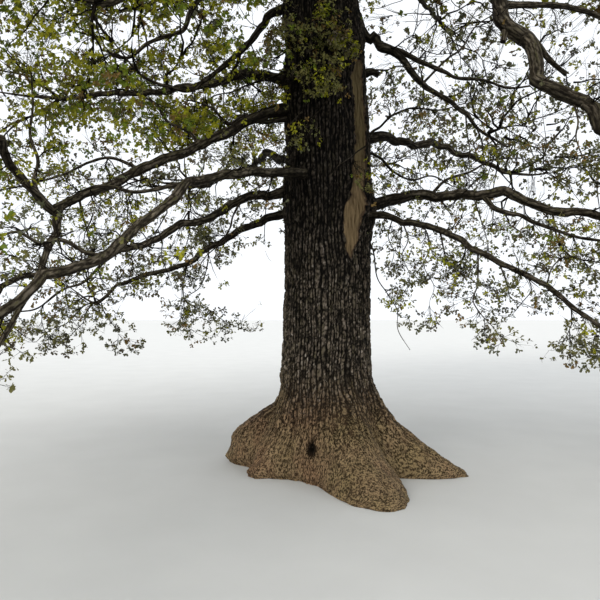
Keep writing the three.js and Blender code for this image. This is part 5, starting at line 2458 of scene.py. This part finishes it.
    def side_limbs(self, material: Material) -> None:
        """Builds the lesser limbs as one joined piece.

        Args:
            material: The bark.
        """
        pieces = []
        for k, side in enumerate(self.sides):
            pieces.append(BarkedLimb(f"side_{k}", *side, self.SIDE_SEED + k, self.FACE_SIDE).build(material))
        bpy.ops.object.select_all(action="DESELECT")
        for piece in pieces:
            piece.select_set(True)
        bpy.context.view_layer.objects.active = pieces[0]
        bpy.ops.object.join()
        pieces[0].name = pieces[0].data.name = "side_limbs"
        parents = sorted({limb.parent for limb in SIDE_LIMBS if limb.parent != "trunk"})
        finish_piece(pieces[0], [f"bough_{name}" for name in parents])

    @staticmethod
    def shoot_space() -> Space:
        """The space of the shoots on the trunk's face, by the source's rule.

        Returns:
            The space.
        """
        height, heading, reach = 4.15, -118.0, 0.62
        along = toward(heading, 25)
        root = float(TRUNK.radius(height)) - 0.06
        base = TRUNK.axis(height)[0] + root * toward(heading, 0)
        return Space("trunk_shoots", base, along, base + 0.35 * reach * along, reach, 0.022, True)

    def root_of(self, row: Limb) -> tuple[Array, float]:
        """Where a bough leaves the trunk's surface, and its radius there.

        Args:
            row: The bough.

        Returns:
            The point and the radius.
        """
        line = self.lines[row.name][0]
        out = np.linalg.norm((line - TRUNK.axis(line[:, 2]))[:, :2], axis=1)
        k = int(np.argmax(out > TRUNK.radius(line[:, 2])))
        return line[k], float(row.girth[0])

    def walls(self) -> Walls:
        """The trunk and all limbs as straight pieces.

        Returns:
            The pieces.
        """
        z = np.linspace(0, TRUNK.top, self.TRUNK_JOINTS)
        axis = TRUNK.axis(z)
        starts, ends = [*axis[:-1]], [*axis[1:]]
        radii = [*(TRUNK.radius(z[:-1]) + TRUNK.flare(z[:-1], np.zeros(len(z) - 1)))]
        for line, _, thick in [*self.lines.values(), *self.sides]:
            few = np.unique(np.linspace(0, len(line) - 1, self.LIMB_JOINTS).astype(int))
            starts += [*line[few[:-1]]]
            ends += [*line[few[1:]]]
            radii += [*thick[few[:-1]]]
        return Walls(np.array(starts), np.array(ends), np.array(radii))

    @staticmethod
    def habit_of(space: Space) -> Habit:
        """How a mass grows, by its place in the crown.

        Args:
            space: The mass's space.

        Returns:
            Its habit.
        """
        if space.name == "trunk_shoots":
            return Habit(24, 8, 5, 6, 0.034, SHADED, Outline.LOBED, 0.17, 0.09, 0.002)
        wide, tuft = 0.34 * space.reach, 0.13 * space.reach
        if space.name.startswith("middle"):
            return Habit(24, 11, 4, 6, 0.09, MIXED, Outline.BLUNT, wide, 0.15 * space.reach, 0.003)
        if not space.low:
            return Habit(22, 9, 4, 5, 0.122, MIXED, Outline.BLUNT, wide, 0.15 * space.reach, 0.0035)
        tints = BRIGHT if space.name in BRIGHT_LIMBS else MIXED if space.name == "right_low" else MUTED
        if space.name in FAR_LIMBS:
            return Habit(24, 10, 4, 6, 0.056, tints, Outline.BLUNT, wide, tuft, 0.0028)
        if space.name == "front_left_hang":
            return Habit(28, 18, 8, 9, 0.029, tints, Outline.SMALL, wide, 0.8 * tuft, 0.0016)
        if space.name == "front_right_hang":
            return Habit(24, 13, 6, 6, 0.028, tints, Outline.SMALL, wide, tuft, 0.0016)
        if tints is BRIGHT:
            return Habit(24, 11, 5, 6, 0.041, tints, Outline.BLUNT, wide, tuft, 0.0022)
        return Habit(24, 11, 5, 8, 0.034, tints, Outline.SMALL, wide, tuft, 0.002)

    @staticmethod
    def sleeve_habit(name: str, branches: float) -> Habit:
        """How side branches grow along a limb.

        Args:
            name: The limb's name.
            branches: Branches for each metre.

        Returns:
            Its habit.
        """
        tints = BRIGHT if name in BRIGHT_LIMBS and name != "left_front_low" else MUTED
        tints = MIXED if name == "right_low" else tints
        return Habit(branches, 3, 4, 5, 0.036, tints, Outline.PLAIN, 0.24, 0.12, 0.002)

    @staticmethod
    def side_habit(limb: SideLimb) -> Habit:
        """How side branches grow along a lesser limb.

        Args:
            limb: The lesser limb.

        Returns:
            Its habit.
        """
        tip = limb.way[-1][0]
        if limb.parent != "trunk" or tip > 380:
            return Oak.sleeve_habit(limb.parent, Oak.BRANCHES_SIDE)
        if tip < 270:
            return Habit(12.0, 4, 5, 5, 0.038, BRIGHT, Outline.PLAIN, 0.26, 0.13, 0.002)
        return Habit(11.0, 4, 4, 5, 0.033, SHADED, Outline.PLAIN, 0.24, 0.12, 0.002)


def main() -> None:
    """Builds the tree and its studio."""
    logging.basicConfig(level=logging.INFO, format="%(message)s")
    noise.seed_set(NOISE_SEED)
    VIEW.build()
    Studio().build()
    Oak().build()
    scene = bpy.context.scene
    scene.view_settings.view_transform = "Standard"


if __name__ == "__main__":
    main()
